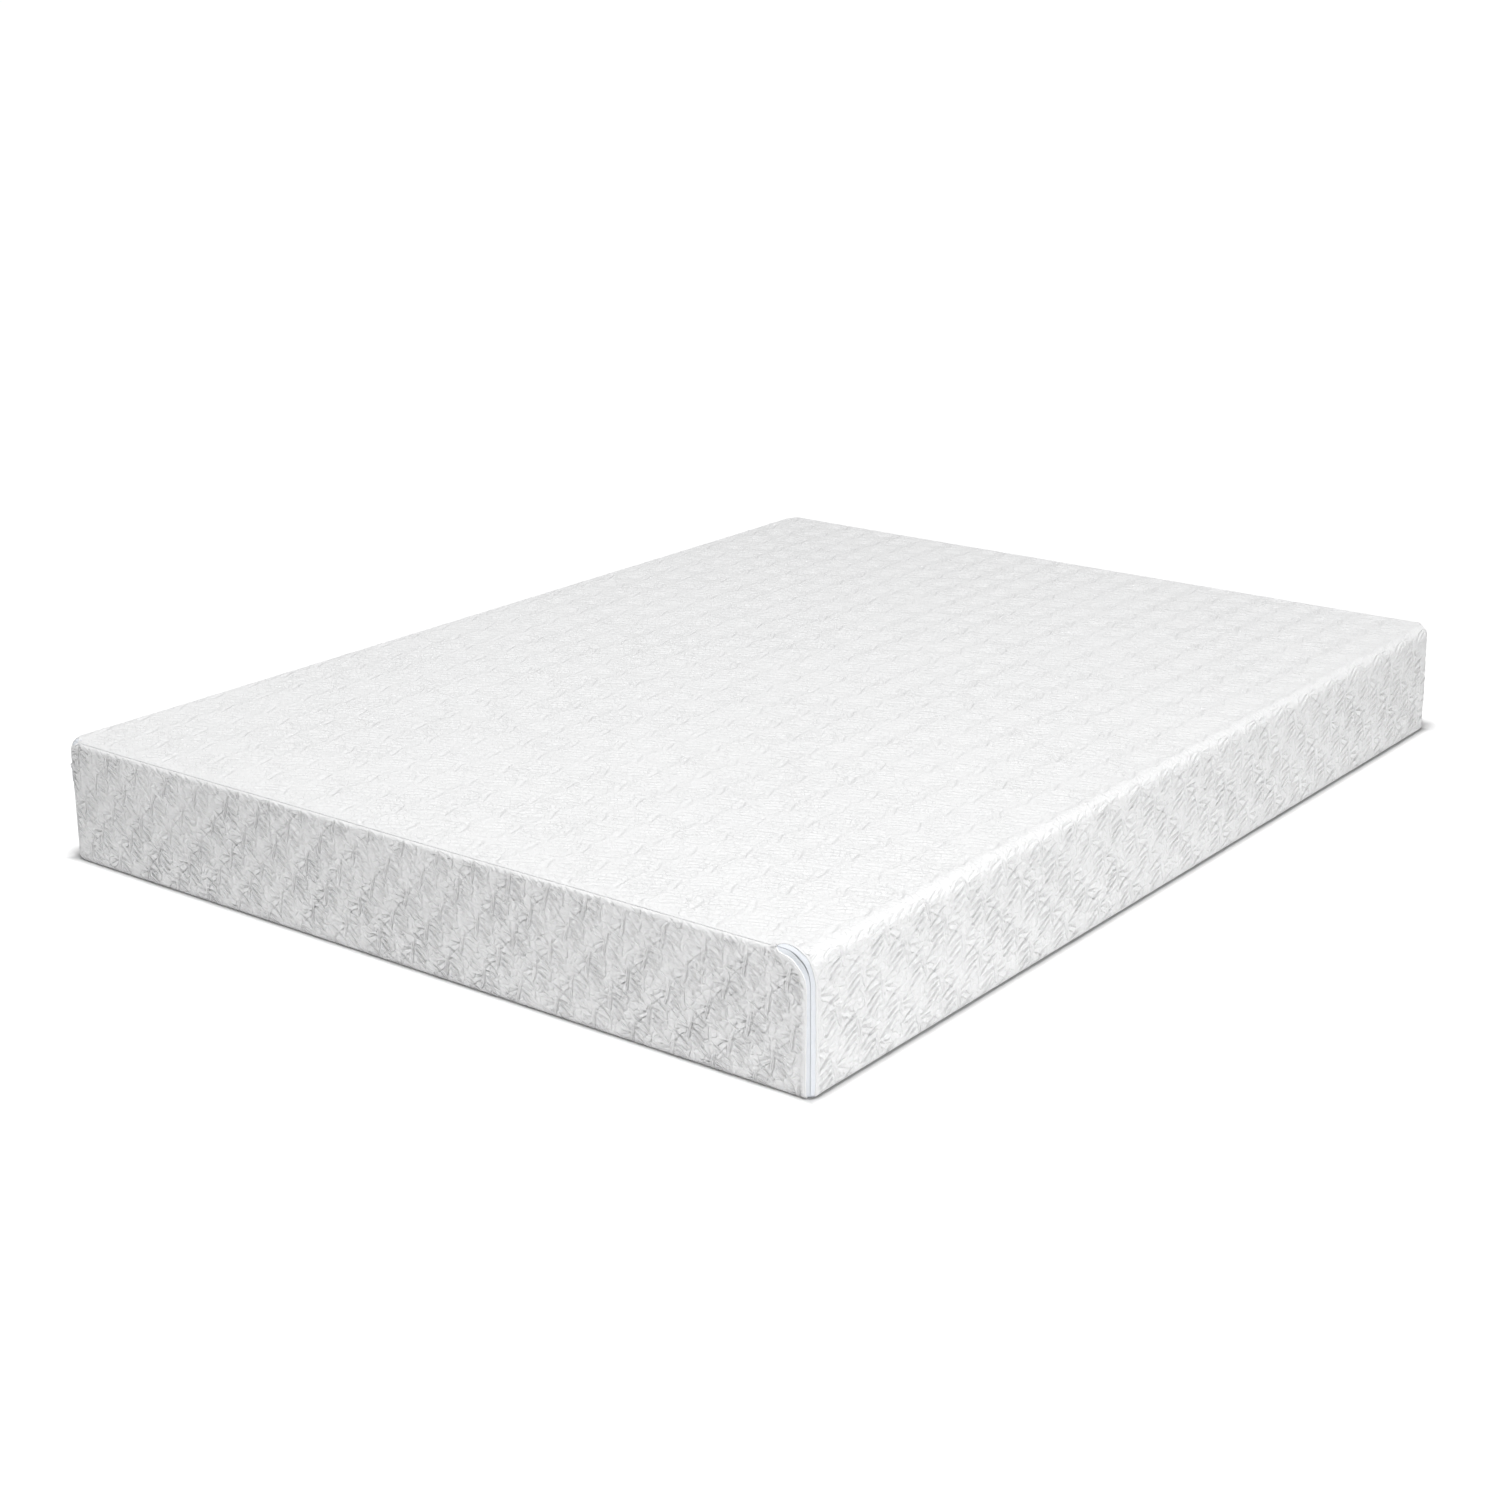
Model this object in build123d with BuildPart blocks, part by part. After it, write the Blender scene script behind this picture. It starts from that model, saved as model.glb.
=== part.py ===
from build123d import *
import os
from math import sqrt

# Queen memory foam mattress with a zip-off knitted cover.
# Millimetres. +X across the bed, +Y towards the head, +Z up, origin at the middle of the underside.

os.makedirs("parts", exist_ok=True)

# Whole mattress
width = 1524.0
length = 2032.0
height = 203.2
corner_radius = 28.0
top_edge_radius = 10.0
base_edge_radius = 20.0

# Layers, from the outside in
cover_thickness = 3.0
hem_thickness = 1.2
tape_thickness = 0.8
sock_thickness = 1.0
core_corner_radius = 40.0
foot_clearance = 0.5
memory_foam_thickness = 50.8
transition_foam_thickness = 50.8
glue_thickness = 0.5

# Sewn seams
seam_width = 2.4
seam_recess = 0.6
sock_seam_inset = 14.0
sock_seam_width = 4.0

# Zip along the foot end: down one upright corner, under the end, up the other corner
fold_gap = 0.3
fold_half_span = 712.0
chain_half_gap = 0.6
coil_reach = 2.6
exposed_tape = 10.0
tape_reach = 18.0
tape_rise = 0.42
tack_length = 7.0
thread_width = 0.6
thread_depth = 0.5
stitch_line = 14.0

# Slider and pull tab, parked at the top of the upright corner at -X
slider_drop = 31.0
slider_width = 8.4
slider_length = 11.5
slider_clearance = 0.3
crown_thickness = 1.4
flange_thickness = 1.2
neck_thickness = 0.6
neck_length = 3.0
bridge_width = 2.4
bridge_length = 7.0
bridge_height = 3.1
bridge_hole_length = 4.0
bridge_hole_height = 1.9
pull_bar_radius = 0.6
pull_bar_offset = 1.0
pull_width = 6.6
pull_length = 26.0
pull_window_width = 3.4
pull_window_length = 7.0
pull_eye_radius = 1.1

# Sewn-on blank label at the head end
label_width = 90.0
label_height = 60.0
label_thickness = 0.5
label_x = -500.0
label_z = 72.0
label_stitch_inset = 3.0

half_width = width / 2
half_length = length / 2
fold_height = height - top_edge_radius
zone_depth = 60.0
zone_overlap = 5.0
seam_half = seam_width / 2


# Closed form of the mattress, drawn in from the cover's outer face by the inset.
def rounded_form(inset, plan_radius, foot_gap=0.0):
    with BuildPart() as form:
        with BuildSketch(Plane.XY.offset(inset)):
            with Locations((0, foot_gap / 2)):
                RectangleRounded(width - 2 * inset, length - 2 * inset - foot_gap, plan_radius)
        extrude(amount=height - 2 * inset)
        fillet(form.faces().sort_by(Axis.Z)[-1].edges(), top_edge_radius - inset)
        fillet(form.faces().sort_by(Axis.Z)[0].edges(), base_edge_radius - inset)
    return form.part


def cover_form(inset):
    return rounded_form(inset, corner_radius - inset)


# Block behind the foot end panel. Its sides lie in the 45 degree planes through the upright
# corners and the base edge, drawn in by the margin.
def end_zone(margin, top):
    draw = margin * sqrt(2)
    front = -half_length - zone_overlap
    back = -half_length + zone_depth
    front_half = half_width + zone_overlap - draw
    back_half = half_width - zone_depth - draw
    with BuildPart() as zone:
        with BuildSketch(Plane.XY.offset(-zone_overlap)):
            Polygon(
                (-front_half, front),
                (front_half, front),
                (back_half, back),
                (-back_half, back),
                align=None,
            )
        extrude(amount=height + 2 * zone_overlap)
        with BuildSketch(Plane.YZ):
            Polygon(
                (front, draw - zone_overlap),
                (back, draw + zone_depth),
                (back, top),
                (front, top),
                align=None,
            )
        extrude(amount=width, both=True, mode=Mode.INTERSECT)
    return zone.part


# What swings with the foot end: all of the end zone up to the fold, less the margin beside
# the two short runs of zip that lie along the fold.
def flap_outline(margin):
    zone = end_zone(margin, fold_height - fold_gap)
    with BuildPart() as outline:
        add(zone)
        with BuildSketch(Plane.XY.offset(fold_height - margin)):
            with GridLocations(2 * fold_half_span + width, 0, 2, 1):
                with Locations((0, -half_length)):
                    Rectangle(width, 2 * zone_depth)
        extrude(amount=margin, mode=Mode.SUBTRACT)
    return outline.part


# What the opening takes out of the rest of the cover, grown by the margin outside the zip.
def opening_outline(margin):
    zone = end_zone(-margin, fold_height + margin * tape_rise)
    with BuildPart() as outline:
        add(zone)
        with BuildSketch(Plane.XY.offset(fold_height)):
            with Locations((0, -half_length)):
                Rectangle(2 * fold_half_span, 3 * zone_depth)
        extrude(amount=height, mode=Mode.SUBTRACT)
    return outline.part


# Block under the base panel, bounded by the 45 degree planes through the long base edges.
def base_zone(margin):
    draw = margin * sqrt(2)
    with BuildPart() as zone:
        with BuildSketch(Plane.XZ):
            Polygon(
                (-(half_width + zone_overlap - draw), -zone_overlap),
                (half_width + zone_overlap - draw, -zone_overlap),
                (half_width - zone_depth - draw, zone_depth),
                (-(half_width - zone_depth - draw), zone_depth),
                align=None,
            )
        extrude(amount=length, both=True)
    return zone.part


def head_zone(margin):
    return mirror(end_zone(margin, fold_height - margin), about=Plane.XZ)


cover_face = cover_form(0)
stitch_bed = cover_form(thread_depth)
seam_face = cover_form(seam_recess)
tape_face = cover_form(hem_thickness)
coil_face = cover_form(hem_thickness + tape_thickness)
cover_back = cover_form(cover_thickness)
sock_face = rounded_form(cover_thickness, core_corner_radius + sock_thickness, foot_clearance)
core_inset = cover_thickness + sock_thickness
core_face = rounded_form(core_inset, core_corner_radius, foot_clearance)

flap_chain = flap_outline(chain_half_gap)
flap_coil_edge = flap_outline(coil_reach)
flap_hem_edge = flap_outline(exposed_tape)
flap_tape_edge = flap_outline(tape_reach)
flap_stitch_outer = flap_outline(stitch_line - thread_width / 2)
flap_stitch_inner = flap_outline(stitch_line + thread_width / 2)

opening_chain = opening_outline(chain_half_gap)
opening_coil_edge = opening_outline(coil_reach)
opening_hem_edge = opening_outline(exposed_tape)
opening_tape_edge = opening_outline(tape_reach)
opening_stitch_inner = opening_outline(stitch_line - thread_width / 2)
opening_stitch_outer = opening_outline(stitch_line + thread_width / 2)

base_panel_zone = base_zone(seam_half)
base_seam_zone = base_zone(-seam_half)
head_panel_zone = head_zone(seam_half)
head_seam_zone = head_zone(-seam_half)

# Foam core, cut into its three layers with a film of glue between each pair
core_bottom = core_inset
core_top = height - core_inset
memory_floor = core_top - memory_foam_thickness
transition_top = memory_floor - glue_thickness
transition_floor = transition_top - transition_foam_thickness
support_top = transition_floor - glue_thickness


def core_slice(low, high):
    with BuildPart() as layer:
        add(core_face)
        with BuildSketch(Plane.XY.offset(low)):
            Rectangle(width, length)
        extrude(amount=high - low, mode=Mode.INTERSECT)
    return layer.part


with BuildPart() as memory_foam_layer:
    add(core_slice(memory_floor, core_top))
memory_foam_layer.part.label = "memory_foam_layer"

with BuildPart() as upper_glue_film:
    add(core_slice(transition_top, memory_floor))
upper_glue_film.part.label = "upper_glue_film"

with BuildPart() as transition_foam_layer:
    add(core_slice(transition_floor, transition_top))
transition_foam_layer.part.label = "transition_foam_layer"

with BuildPart() as lower_glue_film:
    add(core_slice(support_top, transition_floor))
lower_glue_film.part.label = "lower_glue_film"

with BuildPart() as support_foam_base:
    add(core_slice(core_bottom, support_top))
support_foam_base.part.label = "support_foam_base"


# Fire sock: a knitted sleeve round the core, closed at both ends with an overlocked seam
def sock_slice(near, far):
    with BuildPart() as band:
        add(sock_face)
        add(core_face, mode=Mode.SUBTRACT)
        with BuildSketch(Plane.XY):
            with Locations((0, (near + far) / 2)):
                Rectangle(width, far - near)
        extrude(amount=height, mode=Mode.INTERSECT)
    return band.part


sock_seam_start = half_length - cover_thickness - core_corner_radius - sock_seam_inset
sock_seam_end = sock_seam_start + sock_seam_width

with BuildPart() as fire_sock_sleeve:
    add(sock_slice(-sock_seam_start, sock_seam_start))
fire_sock_sleeve.part.label = "fire_sock_sleeve"

with BuildPart() as fire_sock_head_seam:
    add(sock_slice(sock_seam_start, sock_seam_end))
fire_sock_head_seam.part.label = "fire_sock_head_seam"

with BuildPart() as fire_sock_foot_seam:
    add(sock_slice(-sock_seam_end, -sock_seam_start))
fire_sock_foot_seam.part.label = "fire_sock_foot_seam"

with BuildPart() as fire_sock_head_end:
    add(sock_slice(sock_seam_end, half_length))
fire_sock_head_end.part.label = "fire_sock_head_end"

with BuildPart() as fire_sock_foot_end:
    add(sock_slice(-half_length, -sock_seam_end))
fire_sock_foot_end.part.label = "fire_sock_foot_end"

# Hem of the fixed cover, which lies over the outer part of its zip tape
with BuildPart() as cover_hem:
    add(cover_face)
    add(tape_face, mode=Mode.SUBTRACT)
    add(opening_tape_edge, mode=Mode.INTERSECT)
    add(opening_hem_edge, mode=Mode.SUBTRACT)

# Thread through the hem and the tape: up both corners on the cover's sides, and along the base
with BuildPart() as cover_stitch_line:
    add(cover_face)
    add(stitch_bed, mode=Mode.SUBTRACT)
    add(opening_stitch_outer, mode=Mode.INTERSECT)
    add(opening_stitch_inner, mode=Mode.SUBTRACT)

with BuildPart() as base_stitch_line:
    add(cover_stitch_line.part)
    add(base_panel_zone, mode=Mode.INTERSECT)

with BuildPart() as cover_tape_stitching:
    add(cover_stitch_line.part)
    add(base_seam_zone, mode=Mode.SUBTRACT)
    add(base_stitch_line.part)
cover_tape_stitching.part.label = "cover_tape_stitching"

# Cover: top and both long sides in one piece
with BuildPart() as cover_wrap:
    add(cover_face)
    add(cover_back, mode=Mode.SUBTRACT)
    add(opening_tape_edge, mode=Mode.SUBTRACT)
    add(cover_hem.part)
    add(cover_stitch_line.part, mode=Mode.SUBTRACT)
    add(base_seam_zone, mode=Mode.SUBTRACT)
    add(head_seam_zone, mode=Mode.SUBTRACT)
    with BuildSketch(Plane.XY.offset(fold_height)):
        with Locations((0, -half_length)):
            Rectangle(2 * fold_half_span, zone_depth)
    extrude(amount=seam_width, mode=Mode.SUBTRACT)
cover_wrap.part.label = "cover_wrap"

with BuildPart() as cover_base_panel:
    add(cover_face)
    add(cover_back, mode=Mode.SUBTRACT)
    add(opening_tape_edge, mode=Mode.SUBTRACT)
    add(cover_hem.part)
    add(cover_stitch_line.part, mode=Mode.SUBTRACT)
    add(base_panel_zone, mode=Mode.INTERSECT)
    add(head_seam_zone, mode=Mode.SUBTRACT)
cover_base_panel.part.label = "cover_base_panel"

with BuildPart() as cover_head_panel:
    add(cover_face)
    add(cover_back, mode=Mode.SUBTRACT)
    add(head_panel_zone, mode=Mode.INTERSECT)
    with BuildSketch(Plane.XZ.offset(-half_length)):
        with Locations((label_x, label_z)):
            Rectangle(label_width, label_height)
    extrude(amount=label_thickness, mode=Mode.SUBTRACT)
cover_head_panel.part.label = "cover_head_panel"

with BuildPart() as head_panel_seam:
    add(seam_face)
    add(cover_back, mode=Mode.SUBTRACT)
    add(head_seam_zone, mode=Mode.INTERSECT)
    add(head_panel_zone, mode=Mode.SUBTRACT)
head_panel_seam.part.label = "head_panel_seam"

with BuildPart() as side_seams:
    add(seam_face)
    add(cover_back, mode=Mode.SUBTRACT)
    add(base_seam_zone, mode=Mode.INTERSECT)
    add(base_panel_zone, mode=Mode.SUBTRACT)
    add(head_seam_zone, mode=Mode.SUBTRACT)
    add(opening_tape_edge, mode=Mode.SUBTRACT)
side_seams.part.label = "side_seams"

# Seam that the foot end panel folds on, with a bar tack at each end where the zip stops
with BuildPart() as flap_fold_seam:
    add(seam_face)
    add(cover_back, mode=Mode.SUBTRACT)
    with BuildSketch(Plane.XY.offset(fold_height)):
        with Locations((0, -half_length)):
            Rectangle(2 * (fold_half_span - tack_length), zone_depth)
    extrude(amount=seam_width, mode=Mode.INTERSECT)
flap_fold_seam.part.label = "flap_fold_seam"

with BuildPart() as zip_end_tacks:
    add(cover_face)
    add(cover_back, mode=Mode.SUBTRACT)
    with BuildSketch(Plane.XY.offset(fold_height)):
        with GridLocations(2 * fold_half_span - tack_length, 0, 2, 1):
            with Locations((0, -half_length)):
                Rectangle(tack_length, zone_depth)
    extrude(amount=seam_width, mode=Mode.INTERSECT)
zip_end_tacks.part.label = "zip_end_tacks"

# Foot end panel of the cover
with BuildPart() as flap_tape_stitching:
    add(cover_face)
    add(stitch_bed, mode=Mode.SUBTRACT)
    add(flap_stitch_outer, mode=Mode.INTERSECT)
    add(flap_stitch_inner, mode=Mode.SUBTRACT)
flap_tape_stitching.part.label = "flap_tape_stitching"

with BuildPart() as flap_hem:
    add(cover_face)
    add(tape_face, mode=Mode.SUBTRACT)
    add(flap_hem_edge, mode=Mode.INTERSECT)
    add(flap_tape_edge, mode=Mode.SUBTRACT)

with BuildPart() as cover_end_flap:
    add(cover_face)
    add(cover_back, mode=Mode.SUBTRACT)
    add(flap_tape_edge, mode=Mode.INTERSECT)
    add(flap_hem.part)
    add(flap_tape_stitching.part, mode=Mode.SUBTRACT)
cover_end_flap.part.label = "cover_end_flap"

# Zip: one tape and one row of coil on each side of the chain's middle line
with BuildPart() as zip_tape_cover:
    add(tape_face)
    add(coil_face, mode=Mode.SUBTRACT)
    add(opening_tape_edge, mode=Mode.INTERSECT)
    add(opening_chain, mode=Mode.SUBTRACT)
zip_tape_cover.part.label = "zip_tape_cover"

with BuildPart() as zip_coil_cover:
    add(coil_face)
    add(cover_back, mode=Mode.SUBTRACT)
    add(opening_coil_edge, mode=Mode.INTERSECT)
    add(opening_chain, mode=Mode.SUBTRACT)
zip_coil_cover.part.label = "zip_coil_cover"

with BuildPart() as zip_tape_flap:
    add(tape_face)
    add(coil_face, mode=Mode.SUBTRACT)
    add(flap_chain, mode=Mode.INTERSECT)
    add(flap_tape_edge, mode=Mode.SUBTRACT)
zip_tape_flap.part.label = "zip_tape_flap"

with BuildPart() as zip_coil_flap:
    add(coil_face)
    add(cover_back, mode=Mode.SUBTRACT)
    add(flap_chain, mode=Mode.INTERSECT)
    add(flap_coil_edge, mode=Mode.SUBTRACT)
zip_coil_flap.part.label = "zip_coil_flap"

# Slider. Its plane stands on the axis of the upright corner's rounding: local Z runs out
# through the corner, local X across the chain and local Y up.
corner_axis = (-(half_width - corner_radius), -(half_length - corner_radius), fold_height - slider_drop)
slider_plane = Plane(origin=corner_axis, x_dir=(1, -1, 0), z_dir=(-1, -1, 0))
crown_back = corner_radius - hem_thickness + slider_clearance
crown_face = crown_back + crown_thickness
flange_face = corner_radius - cover_thickness - 2 * slider_clearance
flange_back = flange_face - flange_thickness
bar_height = crown_face + bridge_hole_height / 2

with BuildPart() as zip_slider_body:
    with BuildSketch(slider_plane.offset(crown_back)):
        RectangleRounded(slider_width, slider_length, slider_width / 4)
    extrude(amount=crown_thickness)
    with BuildSketch(slider_plane.offset(flange_back)):
        RectangleRounded(slider_width, slider_length, slider_width / 4)
    extrude(amount=flange_thickness)
    with BuildSketch(slider_plane.offset(flange_face)):
        with Locations((0, slider_length / 2 - neck_length)):
            Rectangle(neck_thickness, neck_length)
    extrude(amount=crown_back - flange_face)
    with BuildSketch(slider_plane.offset(crown_face)):
        Rectangle(bridge_width, bridge_length)
    extrude(amount=bridge_height)
    with BuildSketch(slider_plane.offset(crown_face)):
        Rectangle(bridge_width, bridge_hole_length)
    extrude(amount=bridge_hole_height, mode=Mode.SUBTRACT)
zip_slider_body.part.label = "zip_slider_body"

# Pull tab: a flat tab whose top bar turns in the slider's bridge
bar_plane = slider_plane.offset(bar_height)
side_plane = Plane(origin=corner_axis, x_dir=(0, 0, 1), z_dir=(1, -1, 0))

with BuildPart() as zip_pull_tab:
    with BuildSketch(bar_plane.offset(-pull_bar_radius)):
        with Locations((0, -pull_bar_offset - pull_length / 2)):
            RectangleRounded(pull_width, pull_length, pull_width / 4)
        with Locations((0, -pull_bar_offset - pull_window_length / 2)):
            Rectangle(pull_window_width, pull_window_length, mode=Mode.SUBTRACT)
        with Locations((0, -pull_bar_offset - pull_length + 2 * pull_eye_radius)):
            Circle(pull_eye_radius, mode=Mode.SUBTRACT)
    extrude(amount=2 * pull_bar_radius)
    with BuildSketch(side_plane):
        with Locations((-pull_bar_offset, bar_height)):
            Circle(pull_bar_radius)
    extrude(amount=pull_width / 2, both=True)
zip_pull_tab.part.label = "zip_pull_tab"

# Blank label, sewn flat into the head end panel
with BuildPart() as law_label_stitching:
    with BuildSketch(Plane.XZ.offset(-half_length)):
        with Locations((label_x, label_z)):
            Rectangle(label_width - 2 * label_stitch_inset, label_height - 2 * label_stitch_inset)
            Rectangle(
                label_width - 2 * (label_stitch_inset + thread_width),
                label_height - 2 * (label_stitch_inset + thread_width),
                mode=Mode.SUBTRACT,
            )
    extrude(amount=label_thickness / 2)
law_label_stitching.part.label = "law_label_stitching"

with BuildPart() as law_label:
    with BuildSketch(Plane.XZ.offset(-half_length)):
        with Locations((label_x, label_z)):
            Rectangle(label_width, label_height)
    extrude(amount=label_thickness)
    add(law_label_stitching.part, mode=Mode.SUBTRACT)
law_label.part.label = "law_label"

pieces = (
    memory_foam_layer,
    upper_glue_film,
    transition_foam_layer,
    lower_glue_film,
    support_foam_base,
    fire_sock_sleeve,
    fire_sock_head_end,
    fire_sock_foot_end,
    fire_sock_head_seam,
    fire_sock_foot_seam,
    cover_wrap,
    cover_head_panel,
    cover_base_panel,
    cover_end_flap,
    head_panel_seam,
    side_seams,
    flap_fold_seam,
    zip_end_tacks,
    cover_tape_stitching,
    flap_tape_stitching,
    zip_tape_cover,
    zip_tape_flap,
    zip_coil_cover,
    zip_coil_flap,
    zip_slider_body,
    zip_pull_tab,
    law_label,
    law_label_stitching,
)
for piece in pieces:
    export_step(piece.part, f"parts/{piece.part.label}.step")
    print(piece.part.label, len(piece.part.solids()), round(piece.part.volume))
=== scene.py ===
import math

import bmesh
import bpy
import numpy as np
from mathutils import Matrix, Vector


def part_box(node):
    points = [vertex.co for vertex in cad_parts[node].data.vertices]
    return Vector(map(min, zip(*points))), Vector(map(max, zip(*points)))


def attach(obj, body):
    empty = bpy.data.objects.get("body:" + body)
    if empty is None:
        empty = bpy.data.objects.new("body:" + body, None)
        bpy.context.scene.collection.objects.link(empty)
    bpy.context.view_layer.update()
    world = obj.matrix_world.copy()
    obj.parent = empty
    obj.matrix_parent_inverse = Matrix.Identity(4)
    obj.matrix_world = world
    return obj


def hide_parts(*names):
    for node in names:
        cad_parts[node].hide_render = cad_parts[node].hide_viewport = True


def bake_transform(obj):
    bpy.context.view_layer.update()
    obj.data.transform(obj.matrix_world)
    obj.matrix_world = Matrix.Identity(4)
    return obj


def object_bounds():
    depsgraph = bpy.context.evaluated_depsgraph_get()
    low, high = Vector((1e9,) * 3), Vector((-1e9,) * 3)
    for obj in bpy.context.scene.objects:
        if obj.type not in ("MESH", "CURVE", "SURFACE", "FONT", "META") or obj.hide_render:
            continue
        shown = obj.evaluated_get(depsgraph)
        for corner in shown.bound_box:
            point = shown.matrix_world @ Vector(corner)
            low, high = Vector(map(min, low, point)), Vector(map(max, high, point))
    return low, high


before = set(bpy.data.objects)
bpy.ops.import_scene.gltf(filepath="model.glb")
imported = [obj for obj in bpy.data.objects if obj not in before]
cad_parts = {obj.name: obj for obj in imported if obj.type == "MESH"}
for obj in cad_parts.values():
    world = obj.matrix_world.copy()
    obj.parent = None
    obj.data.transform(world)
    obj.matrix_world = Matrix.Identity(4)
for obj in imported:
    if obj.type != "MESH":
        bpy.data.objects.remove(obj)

# Knitted memory foam mattress. Metres, +X across, +Y to the head, +Z up.

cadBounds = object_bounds()
halfWidth, halfLength, fullHeight = cadBounds[1][0], cadBounds[1][1], cadBounds[1][2]
root, flapBody = "mattress", "end_flap"

# Small helpers


def newPiece(name, bm=None, mesh=None):
    if mesh is None:
        mesh = bpy.data.meshes.new(name)
        bm.to_mesh(mesh)
        bm.free()
    piece = bpy.data.objects.new(name, mesh)
    bpy.context.scene.collection.objects.link(piece)
    mesh.shade_smooth()
    return piece


def gridMesh(name, columns, rows):
    bm = bmesh.new()
    bmesh.ops.create_grid(bm, x_segments=columns, y_segments=rows, size=1.0)
    mesh = bpy.data.meshes.new(name)
    bm.to_mesh(mesh)
    bm.free()
    return mesh


# A grid laid by place(u, v), with u and v from 0 to 1
def laidPiece(name, columns, rows, place, merge=0.0):
    mesh = gridMesh(name, columns, rows)
    flat = (readPoints(mesh) + 1) / 2
    writePoints(mesh, place(flat[:, 0], flat[:, 1]))
    if merge:
        bm = bmesh.new()
        bm.from_mesh(mesh)
        bmesh.ops.remove_doubles(bm, verts=bm.verts, dist=merge)
        bm.to_mesh(mesh)
        bm.free()
    return newPiece(name, mesh=mesh)


# A tube round a line of centres; outward says which way is up from what it lies on
def tubePiece(name, centres, outward, radius, sides=6):
    along = np.gradient(centres, axis=0)
    along /= np.linalg.norm(along, axis=1, keepdims=True)
    side = np.cross(along, outward)
    side /= np.linalg.norm(side, axis=1, keepdims=True)
    up = np.cross(side, along)
    radius = np.broadcast_to(radius, len(centres)).astype(float)

    def place(u, v):
        at = np.rint(u * (len(centres) - 1)).astype(int)
        turn = (2 * math.pi * v)[:, None]
        return centres[at] + radius[at][:, None] * (np.cos(turn) * side[at] + np.sin(turn) * up[at])

    return laidPiece(name, len(centres) - 1, sides, place, merge=0.00001)


# A row of small stitches: place(number, x, y, z) puts each one's points, which run from -1 to 1
def stitchPiece(name, count, place):
    bm = bmesh.new()
    bmesh.ops.create_uvsphere(bm, u_segments=6, v_segments=5, radius=1.0)
    bmesh.ops.rotate(bm, verts=bm.verts, matrix=Matrix.Rotation(math.pi / 2, 3, "Y"))
    made = 1
    while made < count:
        copy = bmesh.ops.duplicate(bm, geom=bm.verts[:] + bm.edges[:] + bm.faces[:])
        moved = [v for v in copy["geom"] if isinstance(v, bmesh.types.BMVert)]
        bmesh.ops.translate(bm, verts=moved, vec=(4 * made, 0, 0))
        made *= 2
    bmesh.ops.delete(bm, geom=[v for v in bm.verts if v.co.x > 4 * count - 2], context="VERTS")
    points = np.array([v.co for v in bm.verts])
    number = np.rint(points[:, 0] / 4)
    for vert, point in zip(bm.verts, place(number, points[:, 0] - 4 * number, points[:, 1], points[:, 2])):
        vert.co = (point[0], point[1], max(point[2], 0.0001))
    bmesh.ops.recalc_face_normals(bm, faces=bm.faces)
    return newPiece(name, bm)


def readPoints(mesh):
    points = np.empty(len(mesh.vertices) * 3)
    mesh.vertices.foreach_get("co", points)
    return points.reshape(-1, 3)


def readNormals(mesh):
    normals = np.empty(len(mesh.vertices) * 3)
    mesh.vertex_normals.foreach_get("vector", normals)
    return normals.reshape(-1, 3)


# Nothing goes below the bed base: what would is pressed flat on it
def writePoints(mesh, points):
    points = np.array(points, float)
    points[:, 2] = np.maximum(points[:, 2], 0.0001)
    mesh.vertices.foreach_set("co", points.ravel())
    mesh.update()


def faceMiddles(mesh, values):
    corners = np.empty(len(mesh.loops), dtype=np.int64)
    mesh.loops.foreach_get("vertex_index", corners)
    return values[corners].reshape(-1, 4).mean(axis=1)


def smoothStep(value, low, high):
    t = np.clip((value - low) / (high - low), 0, 1)
    return t * t * (3 - 2 * t)


# The soft box that every layer is cut from

softBox = {
    "plan": 0.028,
    "planTop": 0.024,
    "planBase": 0.013,
    "topSide": 0.018,
    "topEnd": 0.010,
    "topCorner": 0.008,
    "base": 0.009,
    "cornerRise": 0.002,
    "cornerReach": 0.120,
    "edgeFall": 0.0008,
    "edgeReach": 0.070,
    "endBulge": 0.0030,
    "sideBulge": 0.0020,
    "wave": 0.0009,
    "swell": 0.045,
}


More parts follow.
